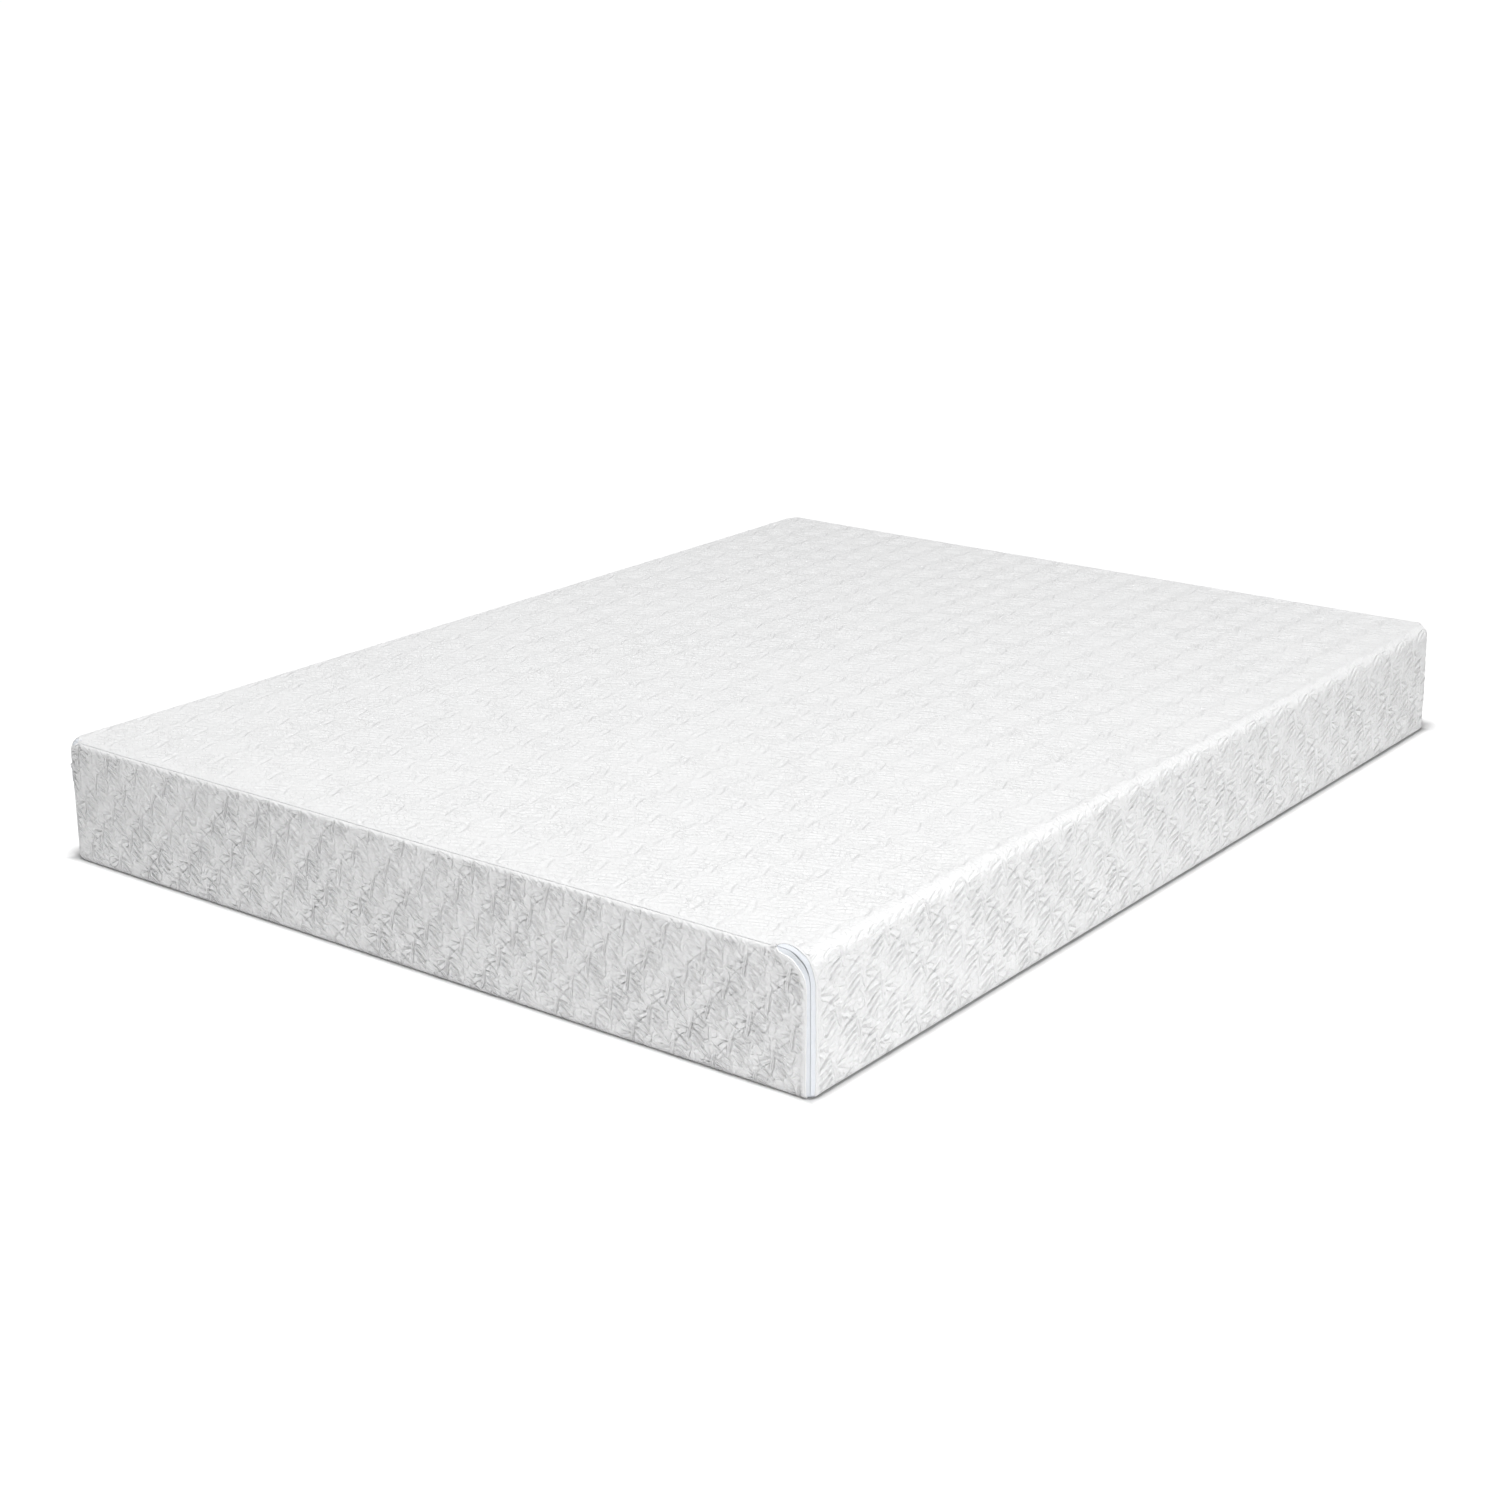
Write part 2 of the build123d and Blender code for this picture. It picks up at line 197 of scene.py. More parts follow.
# Rounds a point of the sharp box, then lets the corners rise, the edges fall, the walls belly out and
# the whole swell above its nominal height. The slider's side keeps one plan radius from top to base.
def softShape(points, inset=0.0, plan=None):
    f = softBox
    if plan is None:
        tall = smoothStep(points[:, 2], 0.2 * fullHeight, fullHeight)
        seenSide = f["planBase"] + (f["planTop"] - f["planBase"]) * tall
        plan = np.where(points[:, 0] < 0, f["plan"], seenSide) - inset
    hw, hl = halfWidth - inset, halfLength - inset
    low, high = inset, fullHeight - inset
    x = np.clip(points[:, 0], -hw, hw)
    y = np.clip(points[:, 1], -hl, hl)
    z = np.clip(points[:, 2], low, high)
    qx, qy = np.clip(x, plan - hw, hw - plan), np.clip(y, plan - hl, hl - plan)
    dx, dy = x - qx, y - qy
    reach = np.maximum(np.abs(dx), np.abs(dy))
    away = np.hypot(dx, dy)
    safe = np.where(away > 0, away, 1)
    ux, uy = dx / safe, dy / safe
    top = f["topSide"] * ux**2 + f["topEnd"] * uy**2 + 4 * f["topCorner"] * (ux * uy) ** 2 - inset
    top = np.clip(top, 0.001, plan)
    base = max(f["base"] - inset, 0.001)
    for radius, level, sign in ((top, high, 1), (base, low, -1)):
        a = reach - (plan - radius)
        b = sign * (z - level) + radius
        inCorner = (a > 0) & (b > 0) & (away > 0)
        span = np.hypot(a, b)
        scale = np.where(inCorner, np.maximum(a, b) / np.where(span > 0, span, 1), 1)
        reach = np.where(inCorner, plan - radius + a * scale, reach)
        z = np.where(inCorner, level + sign * (b * scale - radius), z)
    x, y = qx + ux * reach, qy + uy * reach
    fromSide, fromEnd = halfWidth - np.abs(x), halfLength - np.abs(y)
    up = smoothStep(z, 0.25 * fullHeight, fullHeight)
    sink = -f["cornerRise"] * np.exp(-np.hypot(fromSide, fromEnd) / f["cornerReach"])
    sink = sink + f["edgeFall"] * (np.exp(-fromSide / f["edgeReach"]) + np.exp(-fromEnd / f["edgeReach"]))
    sink = sink + 0.5 * f["wave"] * (1 + np.sin(x * 9.1 + 0.7) * np.sin(y * 7.3 + 1.9))
    belly = np.sin(math.pi * np.clip(z / fullHeight, 0, 1))
    ripple = np.sin(x * 21 + 0.4) + 0.6 * np.sin(x * 47 + 2.1) + np.sin(y * 17 + 1.2) + 0.6 * np.sin(y * 39)
    out = belly * (1 + f["wave"] / f["endBulge"] * 0.5 * ripple)
    nearSide = np.exp(-fromSide / 0.02) * smoothStep(fromEnd, 0.02, 0.12)
    nearEnd = np.exp(-fromEnd / 0.02) * smoothStep(fromSide, 0.02, 0.12)
    x = x + np.sign(x) * f["sideBulge"] * out * nearSide
    y = y + np.sign(y) * f["endBulge"] * out * nearEnd
    z = (z - up * sink) * (1 + f["swell"])
    return np.column_stack((x, y, z))


# An end laid flat: a runs across as seen from outside, b up. Past its edges it folds on to the
# sides, top and base. The end is -1 for the foot and 1 for the head.
def foldOut(a, b, end=-1):
    x = np.clip(a, -halfWidth, halfWidth)
    z = np.clip(b, 0, fullHeight)
    past = np.maximum(np.maximum(np.abs(a) - halfWidth, b - fullHeight), np.maximum(-b, 0))
    return np.column_stack((-end * x, -end * (np.maximum(past, 0) - halfLength), z))


def facing(a, b, end=-1, inset=0.0):
    step = 0.0004
    across = softShape(foldOut(a + step, b, end), inset) - softShape(foldOut(a - step, b, end), inset)
    up = softShape(foldOut(a, b + step, end), inset) - softShape(foldOut(a, b - step, end), inset)
    normal = np.cross(across, up)
    size = np.linalg.norm(normal, axis=1, keepdims=True)
    return np.where(size > 1e-12, normal / np.where(size > 0, size, 1), [[0, 0, -1]])


def onEnd(a, b, lift, end=-1, inset=0.0):
    lift = np.broadcast_to(lift, len(a)).reshape(-1, 1)
    return softShape(foldOut(a, b, end), inset) + facing(a, b, end, inset) * lift


# Zip route on the laid-out foot end

zipRoute = {
    "straight": 0.006,
    "leftBend": 0.028,
    "rightBend": 0.054,
    "under": 0.014,
    "baseBend": 0.010,
    "hemCover": 0.0125,
    "hemFlap": 0.0100,
    "tapeReach": 0.0165,
    "tapeSink": 0.0010,
    "hemSink": 0.0024,
    "hemProud": 0.0012,
    "chainGap": 0.0009,
    "opening": 0.0100,
}


def topBend(a):
    return np.where(np.asarray(a) < 0, zipRoute["leftBend"], zipRoute["rightBend"])


def zipOffset(a, b):
    z = zipRoute
    top, base = topBend(a), z["baseBend"]
    start = halfWidth - top - z["straight"]
    a = np.abs(a)
    away = np.maximum(a - halfWidth, -z["under"] - b)
    run = (b > fullHeight - top) & (a <= halfWidth - top)
    away = np.where(run, np.maximum(away, b - fullHeight), away)
    bend = (b > fullHeight - top) & (a > halfWidth - top)
    away = np.where(bend, np.hypot(a - halfWidth + top, b - fullHeight + top) - top, away)
    turn = (b < base - z["under"]) & (a > halfWidth - base)
    away = np.where(turn, np.hypot(a - halfWidth + base, b + z["under"] - base) - base, away)
    return away, np.where(b > 0.5 * fullHeight, smoothStep(a, start - 0.004, start + 0.002), 1)


def zipCurve():
    z = zipRoute
    base = z["baseBend"]
    a, b = [], []
    for side in (-1, 1):
        top = float(topBend(side))
        arc = np.linspace(math.pi / 2, 0, 25)
        x = [halfWidth - top - z["straight"], *(halfWidth - top + top * np.cos(arc))]
        y = [fullHeight, *(fullHeight - top + top * np.sin(arc))]
        arc = np.linspace(0, -math.pi / 2, 13)
        x += list(halfWidth - base + base * np.cos(arc))
        y += list(base - z["under"] + base * np.sin(arc))
        a.append(side * np.array(x)[::-side])
        b.append(np.array(y)[::-side])
    return np.concatenate(a), np.concatenate(b)


routeA, routeB = zipCurve()
routeAt = np.concatenate(([0], np.cumsum(np.hypot(np.diff(routeA), np.diff(routeB)))))
zipLength = routeAt[-1]


# Point beside the zip: s along it, o out from it towards the fixed cover, lift above the knit
def besideZip(s, o):
    step = 0.0015
    before, after = np.clip(s - step, 0, zipLength), np.clip(s + step, 0, zipLength)
    da = np.interp(after, routeAt, routeA) - np.interp(before, routeAt, routeA)
    db = np.interp(after, routeAt, routeB) - np.interp(before, routeAt, routeB)
    size = np.hypot(da, db)
    a = np.interp(s, routeAt, routeA) + o * db / size
    b = np.interp(s, routeAt, routeB) - o * da / size
    return a, b


def alongZip(s, o, lift):
    return onEnd(*besideZip(s, o), lift)


# Embossed knit

# Each stroke of the motif: its middle in mm, angle in degrees, half length and half width in mm, how much
# it bends, and its height beside the setting's depth
knitMotif = (
    (-2, -7, 78, 21, 2.1, 0.000, -1.10),
    (-6, -9, 79, 15, 1.9, 0.004, 0.60),
    (2, -12, 76, 13, 1.8, -0.004, 0.75),
    (15, 16, -36, 19, 2.0, 0.008, -0.90),
    (17, 10, -34, 16, 2.0, 0.014, 0.75),
    (31, -6, 84, 11, 2.0, 0.010, 0.80),
    (13, 3, -16, 11, 1.7, 0.010, -0.65),
    (13, -3, -26, 12, 1.7, 0.006, 0.70),
    (14, -9, -36, 14, 1.8, 0.006, -0.75),
    (14, -14, -40, 12, 1.7, 0.006, 0.75),
    (12, -19, -42, 13, 1.8, 0.006, -0.75),
    (11, -24, -44, 11, 1.7, 0.004, 0.75),
    (6, -28, -45, 11, 1.7, 0.004, -0.65),
    (-13, 8, -42, 11, 1.8, 0.006, -0.60),
    (-14, 2, -20, 10, 1.7, 0.006, 0.60),
    (-14, -4, 4, 10, 1.7, 0.000, -0.50),
    (-15, -10, 24, 11, 1.7, 0.004, 0.60),
    (-15, -17, 42, 11, 1.8, 0.006, -0.60),
    (-20, -24, 52, 10, 1.8, 0.006, 0.60),
)
knitSetting = {
    "end": {"across": (0.0319, 0.0381), "down": (-0.0390, 0.0410), "stretch": (1.0, 1.0), "depth": 0.00115},
    "side": {
        "across": (0.0552, 0.0394), "down": (-0.0467, 0.0384), "stretch": (-1.44, 1.0), "depth": 0.00125,
    },
    "top": {
        "across": (0.0672, 0.0411), "down": (-0.0665, 0.0394), "stretch": (-1.85, 1.04), "depth": 0.00085,
    },
}


def knitBase(setting):
    k = knitSetting[setting]
    return np.array([k["across"], k["down"]]).T, np.array(k["stretch"])


# Where a point is in the repeat: whole numbers are the motif's own places
def knitPlace(u, v, setting):
    base, _ = knitBase(setting)
    place = np.linalg.inv(base) @ np.array([u, v])
    wander = np.array([np.sin(83 * u + 2 * np.sin(61 * v)), np.sin(97 * v + 2 * np.sin(71 * u))])
    return place + 0.022 * wander


# The stroke's centre in the repeat, and the two directions that measure along it and across it
def strokeFrame(stroke, setting):
    base, stretch = knitBase(setting)
    centre = np.linalg.inv(base) @ (np.array(stroke[:2]) * stretch / 1000)
    turn = math.radians(stroke[2])
    turned = np.array([[math.cos(turn), math.sin(turn)], [-math.sin(turn), math.cos(turn)]])
    return centre, turned @ (base * 1000 / stretch[:, None])


# Where a stroke starts to fade and where it ends, beside its half length
strokeEnd = (0.72, 1.12)


def knitHeight(place, setting):
    total = np.zeros(place.shape[1])
    for stroke in knitMotif:
        half, wide, bend, height = stroke[3:]
        centre, directions = strokeFrame(stroke, setting)
        near = place - centre[:, None]
        along, across = directions @ (near - np.round(near))
        across = across + bend * along**2
        ends = 1 - smoothStep(np.abs(along), strokeEnd[0] * half, strokeEnd[1] * half)
        total = total + height * ends * np.exp(-((across / wide) ** 2))
    return total * knitSetting[setting]["depth"]


# Slow change in the depth of the relief
def knitDrift(x, y, z):
    first = np.sin(31 * x + 17 * z + 2 * np.sin(13 * y))
    second = np.sin(23 * y + 29 * z + 1.7 * np.sin(19 * x))
    return 1 + 0.22 * first * second


def knitGrain(x, y, z):
    t = np.sin(811 * x + 3 * np.sin(157 * y)) * np.sin(769 * y + 613 * z + 3 * np.sin(171 * x))
    return 0.00012 * t


# Cover skins

cell = 0.00308
columnsX = round(2 * halfWidth / cell)
rowsY = round(2 * halfLength / cell)
rowsZ = round(fullHeight / cell)
underRows = 5
cellZ = fullHeight / rowsZ


def zipTrench(a, b):
    z = zipRoute
    away, free = zipOffset(a, b)
    edge = np.where(away > 0, z["hemCover"], z["hemFlap"])
    gap = np.abs(away)
    inside = 1 - smoothStep(gap, edge - 0.0022, edge - 0.0002)
    proud = np.exp(-(((gap - edge - 0.0018) / 0.0045) ** 2)) * smoothStep(gap, edge - 0.001, edge + 0.001)
    flat = 1 - smoothStep(gap, edge + 0.001, edge + 0.008)
    flatten = np.where(free > 0, flat * free, 0)
    return (-z["hemSink"] * inside + z["hemProud"] * proud) * free, flatten


def seamDip(distance):
    dip = -0.0012 * np.exp(-((distance / 0.0022) ** 2))
    return dip + 0.0006 * np.exp(-(((distance - 0.007) / 0.004) ** 2))


# Keeps each corner's place in the repeat as a UV map, and how deep the relief is there
def keepKnit(mesh, place, depth):
    corners = np.empty(len(mesh.loops), dtype=np.int64)
    mesh.loops.foreach_get("vertex_index", corners)
    uv = mesh.uv_layers.new(name="knitPlace")
    uv.data.foreach_set("uv", place.T[corners].ravel())
    strength = mesh.attributes.new("reliefDepth", "FLOAT", "POINT")
    strength.data.foreach_set("value", np.asarray(depth, float))
    return corners


# Wrap: one sheet from base edge to base edge, over both sides and the top
def makeWrap():
    columns = columnsX + 2 * rowsZ
    mesh = gridMesh("coverWrap", columns, rowsY)
    flat = readPoints(mesh)
    s = (flat[:, 0] + 1) / 2 * columns
    y = flat[:, 1] * halfLength
    left, right = s < rowsZ - 0.5, s > rowsZ + columnsX + 0.5
    x = np.clip((s - rowsZ) / columnsX * 2 * halfWidth - halfWidth, -halfWidth, halfWidth)
    z = np.where(left, s * cellZ, np.where(right, (columns - s) * cellZ, fullHeight))
    writePoints(mesh, softShape(np.column_stack((x, y, z))))
    points, normals = readPoints(mesh), readNormals(mesh)
    onSide = left | right
    sidePlace = knitPlace(np.where(x > 0, y, -y), z, "side")
    topPlace = knitPlace(x, y, "top")
    relief = np.where(onSide, knitHeight(sidePlace, "side"), knitHeight(topPlace, "top"))
    edge = np.where(onSide, fullHeight - z, halfWidth - np.abs(x))
    a = np.where(onSide, np.sign(x) * (halfWidth + y + halfLength), x)
    b = np.where(onSide, z, fullHeight + y + halfLength)
    trench, flatten = zipTrench(a, b)
    foldLine = np.where(onSide, 1, y + halfLength)
    depth = (0.65 + 0.35 * smoothStep(edge, 0.002, 0.014)) * (1 - flatten)
    depth = depth * smoothStep(np.minimum(foldLine, halfLength - y), 0.002, 0.010) * knitDrift(x, y, z)
    seams = seamDip(halfLength - y) + seamDip(np.where(onSide, z, 1))
    lift = relief * depth + knitGrain(x, y, z) * (1 - flatten) + trench + seams
    writePoints(mesh, points + normals * lift[:, None])
    corners = keepKnit(mesh, topPlace, depth)
    middle = faceMiddles(mesh, s)
    faceOnSide = (middle < rowsZ) | (middle > rowsZ + columnsX)
    mixed = np.where(np.repeat(faceOnSide, 4)[:, None], sidePlace.T[corners], topPlace.T[corners])
    mesh.uv_layers["knitPlace"].data.foreach_set("uv", mixed.ravel())
    mesh.polygons.foreach_set("material_index", np.where(faceOnSide, 1, 0))
    away, free = zipOffset(a, b)
    return mesh, np.where(free > 0.5, away, 1)


careLabel = {
    "a": 0.500,
    "b": 0.072,
    "wide": 0.090,
    "high": 0.060,
    "thick": 0.0005,
    "inset": 0.003,
    "pitch": 0.0034,
    "thread": 0.00026,
}


# End sheet: the foot end, or the head end with its sign turned, with a few rows turned under
def makeEndSheet(name, sign):
    rows = rowsZ + underRows
    mesh = gridMesh(name, columnsX, rows)
    flat = readPoints(mesh)
    a = flat[:, 0] * halfWidth
    b = (flat[:, 1] + 1) / 2 * rows * cellZ - underRows * cellZ
    writePoints(mesh, softShape(foldOut(a, b, sign)))
    points, normals = readPoints(mesh), readNormals(mesh)
    place = knitPlace(a, b, "end")
    if sign < 0:
        trench, flatten = zipTrench(a, b)
        seams = seamDip(fullHeight - b)
    else:
        t = careLabel
        fromLabel = np.maximum(np.abs(a - t["a"]) - t["wide"] / 2, np.abs(b - t["b"]) - t["high"] / 2)
        trench, flatten = 0, 1 - smoothStep(fromLabel, 0, 0.008)
        seams = seamDip(np.minimum(fullHeight - b, halfWidth - np.abs(a))) + seamDip(b)
    depth = smoothStep(fullHeight - b, 0.003, 0.012) * (1 - flatten) * knitDrift(a, b, sign + 0 * a)
    lift = knitHeight(place, "end") * depth + knitGrain(a, b, 0 * a) * (1 - flatten) + trench + seams
    writePoints(mesh, points + normals * lift[:, None])
    keepKnit(mesh, place, depth)
    mesh.polygons.foreach_set("material_index", np.full(len(mesh.polygons), 2))
    return mesh, a, b


# Shader groups


def startGroup(name, inputs, outputs):
    group = bpy.data.node_groups.new(name, "ShaderNodeTree")
    for socketName, kind, value in inputs:
        socket = group.interface.new_socket(socketName, in_out="INPUT", socket_type=kind)
        if value is not None:
            socket.default_value = value
    for socketName, kind in outputs:
        group.interface.new_socket(socketName, in_out="OUTPUT", socket_type=kind)
    return group, group.nodes.new("NodeGroupInput"), group.nodes.new("NodeGroupOutput")


def addNode(tree, kind, settings=None, **values):
    node = tree.nodes.new(kind)
    for key, value in (settings or {}).items():
        setattr(node, key, value)
    for key, value in values.items():
        socket = node.inputs[int(key[1:])] if key[0] == "i" and key[1:].isdigit() else node.inputs[key]
        if isinstance(value, bpy.types.NodeSocket):
            tree.links.new(value, socket)
        else:
            socket.default_value = value
    return node


def mathNode(tree, operation, first, second=0.0, third=0.0):
    node = addNode(tree, "ShaderNodeMath", {"operation": operation}, i0=first, i1=second, i2=third)
    return node.outputs[0]


def vectorNode(tree, operation, output, **values):
    return addNode(tree, "ShaderNodeVectorMath", {"operation": operation}, **values).outputs[output]


# Eases a value from one range to another
def easedRange(tree, value, *ranges):
    node = addNode(tree, "ShaderNodeMapRange", {"interpolation_type": "SMOOTHSTEP"}, Value=value)
    for socket, limit in zip(node.inputs[1:5], ranges):
        socket.default_value = limit
    return node.outputs["Result"]


def noiseNode(tree, vector, scale, **values):
    return addNode(tree, "ShaderNodeTexNoise", None, Vector=vector, Scale=scale, **values)


def cellDistance(tree, vector, scale, feature="F1"):
    node = addNode(tree, "ShaderNodeTexVoronoi", {"feature": feature}, Vector=vector, Scale=scale)
    return node.outputs["Distance"]


def socketList(kind, **values):
    return tuple((name, kind, value) for name, value in values.items())


vectorIn = (("Vector", "NodeSocketVector", None),)
heightOut = (("Height", "NodeSocketFloat"),)
shadeOut = (("Shade", "NodeSocketFloat"),)


# Knit loops: small puffed cells in rows, with a slower unevenness on top
def makeLoopsGroup():
    group, inside, outside = startGroup(
        "knitLoops", vectorIn + socketList("NodeSocketFloat", Loop=0.0024, Uneven=0.5), heightOut + shadeOut
    )
    place = inside.outputs["Vector"]
    rate = mathNode(group, "DIVIDE", 1.0, inside.outputs["Loop"])
    cells = cellDistance(group, place, rate)
    slow = noiseNode(group, place, mathNode(group, "MULTIPLY", rate, 0.3), Detail=3.0, Roughness=0.6)
    puff = mathNode(group, "SUBTRACT", 1.0, cells)
    mixed = mathNode(group, "MULTIPLY_ADD", slow.outputs["Fac"], inside.outputs["Uneven"], puff)
    group.links.new(mixed, outside.inputs["Height"])
    broad = noiseNode(group, place, 5.0, Detail=2.0)
    halfBroad = mathNode(group, "MULTIPLY", broad.outputs["Fac"], 0.5)
    shade = mathNode(group, "MULTIPLY_ADD", slow.outputs["Fac"], 0.5, halfBroad)
    group.links.new(shade, outside.inputs["Shade"])
    return group


# Crinkles of the knit: soft cells with a crease between them, which is a ridge where Crease is negative
def makeCrinkleGroup():
    group, inside, outside = startGroup(
        "knitCrinkle", vectorIn + socketList("NodeSocketFloat", Pillow=0.009, Crease=1.0), heightOut
    )
    place, pillow = inside.outputs["Vector"], inside.outputs["Pillow"]
    rate = mathNode(group, "DIVIDE", 1.0, pillow)
    bend = noiseNode(group, place, mathNode(group, "MULTIPLY", rate, 0.7), Detail=2.0)
    reach = mathNode(group, "MULTIPLY", pillow, 0.8)
    push = vectorNode(group, "SCALE", 0, i0=bend.outputs["Color"], Scale=reach)
    moved = vectorNode(group, "ADD", 0, i0=place, i1=push)
    valley = easedRange(group, cellDistance(group, moved, rate, "DISTANCE_TO_EDGE"), 0.0, 0.22, 0.0, 1.0)
    deep = mathNode(group, "MULTIPLY", valley, inside.outputs["Crease"])
    group.links.new(mathNode(group, "MULTIPLY_ADD", bend.outputs["Fac"], 1.2, deep), outside.inputs["Height"])
    return group


# Woven tape or thread: ribs across the piece's own length and finer ones along it
def makeWeaveGroup():
    group, inside, outside = startGroup(
        "tapeWeave", vectorIn + socketList("NodeSocketFloat", Ribs=900.0, Along=900.0), heightOut + shadeOut
    )
    parts = addNode(group, "ShaderNodeSeparateXYZ", None, Vector=inside.outputs["Vector"])
    ribs = mathNode(group, "SINE", mathNode(group, "MULTIPLY", parts.outputs[0], inside.outputs["Ribs"]))
    along = mathNode(group, "SINE", mathNode(group, "MULTIPLY", parts.outputs[1], inside.outputs["Along"]))
    height = mathNode(group, "MULTIPLY", ribs, along)
    noise = noiseNode(group, inside.outputs["Vector"], 180.0, Detail=2.0)
    height = mathNode(group, "MULTIPLY_ADD", noise.outputs["Fac"], 0.6, height)
    group.links.new(height, outside.inputs["Height"])
    group.links.new(noise.outputs["Fac"], outside.inputs["Shade"])
    return group


# Open foam cells of two sizes, with painted shade darkening the pores and a broad unevenness in the tone
def makeFoamGroup():
    group, inside, outside = startGroup(
        "foamCells", vectorIn + socketList("NodeSocketFloat", Pore=0.002), heightOut + shadeOut
    )
    place = inside.outputs["Vector"]
    rate = mathNode(group, "DIVIDE", 1.0, inside.outputs["Pore"])
    pores = cellDistance(group, place, rate)
    fine = cellDistance(group, place, mathNode(group, "MULTIPLY", rate, 2.6))
    group.links.new(mathNode(group, "MULTIPLY_ADD", fine, 0.5, pores), outside.inputs["Height"])
    broad = noiseNode(group, place, 9.0, Detail=3.0)
    # Painted shade: the colour is darker in the pores, where the height dips
    shade = mathNode(group, "MULTIPLY_ADD", pores, 0.4, broad.outputs["Fac"])
    group.links.new(shade, outside.inputs["Shade"])
    return group


# Lightly brushed and lightly scuffed
def makeGrainGroup():
    group, inside, outside = startGroup(
        "fineGrain", vectorIn + socketList("NodeSocketFloat", Grain=0.001), heightOut + shadeOut
    )
    place = inside.outputs["Vector"]
    rate = mathNode(group, "DIVIDE", 1.0, inside.outputs["Grain"])
    grain = noiseNode(group, place, rate, Detail=4.0)
    group.links.new(grain.outputs["Fac"], outside.inputs["Height"])
    broad = noiseNode(group, place, mathNode(group, "MULTIPLY", rate, 0.2))
    group.links.new(broad.outputs["Fac"], outside.inputs["Shade"])
    return group


# One stroke of the knit motif, added to the strokes before it; the same sum as knitHeight
def makeStrokeGroup():
    group, inside, outside = startGroup(
        "knitStroke",
        socketList("NodeSocketVector", Place=None, Centre=None, Along=None, Across=None)
        + socketList("NodeSocketFloat", Bend=0.0, Half=10.0, Wide=2.0, Rise=1.0, Before=0.0),
        heightOut,
    )
    get = inside.outputs
    shifted = vectorNode(group, "SUBTRACT", 0, i0=get["Place"], i1=get["Centre"])
    part = vectorNode(group, "FRACTION", 0, i0=shifted)
    near = vectorNode(group, "SUBTRACT", 0, i0=part, i1=(0.5, 0.5, 0.0))
    along = vectorNode(group, "DOT_PRODUCT", "Value", i0=near, i1=get["Along"])
    across = vectorNode(group, "DOT_PRODUCT", "Value", i0=near, i1=get["Across"])
    bowed = mathNode(group, "MULTIPLY_ADD", mathNode(group, "MULTIPLY", along, along), get["Bend"], across)
    reach = mathNode(group, "DIVIDE", mathNode(group, "ABSOLUTE", along), get["Half"])
    ends = easedRange(group, reach, *strokeEnd, 1.0, 0.0)
    offLine = mathNode(group, "DIVIDE", bowed, get["Wide"])
    squared = mathNode(group, "MULTIPLY", offLine, offLine)
    line = mathNode(group, "EXPONENT", mathNode(group, "MULTIPLY", squared, -1.0))
    rise = mathNode(group, "MULTIPLY", mathNode(group, "MULTIPLY", line, ends), get["Rise"])
    group.links.new(mathNode(group, "ADD", rise, get["Before"]), outside.inputs["Height"])
    return group


effects = {
    "stroke": makeStrokeGroup(),
    "crinkle": makeCrinkleGroup(),
    "loops": makeLoopsGroup(),
    "weave": makeWeaveGroup(),
    "foam": makeFoamGroup(),
    "grain": makeGrainGroup(),
}


# A finish is its effect, a dark and a light colour, how far the bump rises in metres, roughness, sheen,
# and the effect's own sizes
def look(effect, colours, surface, **sizes):
    dark, light = colours
    bump, rough, sheen = surface
    return {
        "effect": effect,
        "dark": dark,
        "light": light,
        "bump": bump,
        "rough": rough,
        "sheen": sheen,
        "sizes": sizes,
    }


def coverLook(knit, carve, pillow, crease):
    loops = look("loops", colours["whiteKnit"], (0.00022, 0.9, 0.15), Loop=0.0026, Uneven=0.7)
    return {**loops, "knit": knit, "carve": carve, "pillow": pillow, "crease": crease}


colours = {
    "whiteKnit": ((0.865, 0.867, 0.872), (0.905, 0.905, 0.905)),
    "base": ((0.74, 0.74, 0.745), (0.80, 0.80, 0.80)),
    "tape": ((0.80, 0.83, 0.875), (0.86, 0.885, 0.925)),
    "thread": ((0.80, 0.80, 0.81), (0.90, 0.90, 0.90)),
    "sock": ((0.76, 0.75, 0.71), (0.86, 0.85, 0.81)),
    "sockThread": ((0.72, 0.71, 0.67), (0.84, 0.83, 0.79)),
    "memory": ((0.86, 0.83, 0.75), (0.93, 0.91, 0.84)),
    "transition": ((0.78, 0.82, 0.88), (0.85, 0.89, 0.94)),
    "support": ((0.82, 0.81, 0.76), (0.91, 0.90, 0.86)),
    "label": ((0.84, 0.84, 0.82), (0.91, 0.91, 0.89)),
    "coil": ((0.76, 0.78, 0.83), (0.84, 0.86, 0.90)),
    "metal": ((0.50, 0.50, 0.52), (0.66, 0.66, 0.67)),
    "glue": ((0.78, 0.74, 0.62), (0.88, 0.85, 0.74)),
}
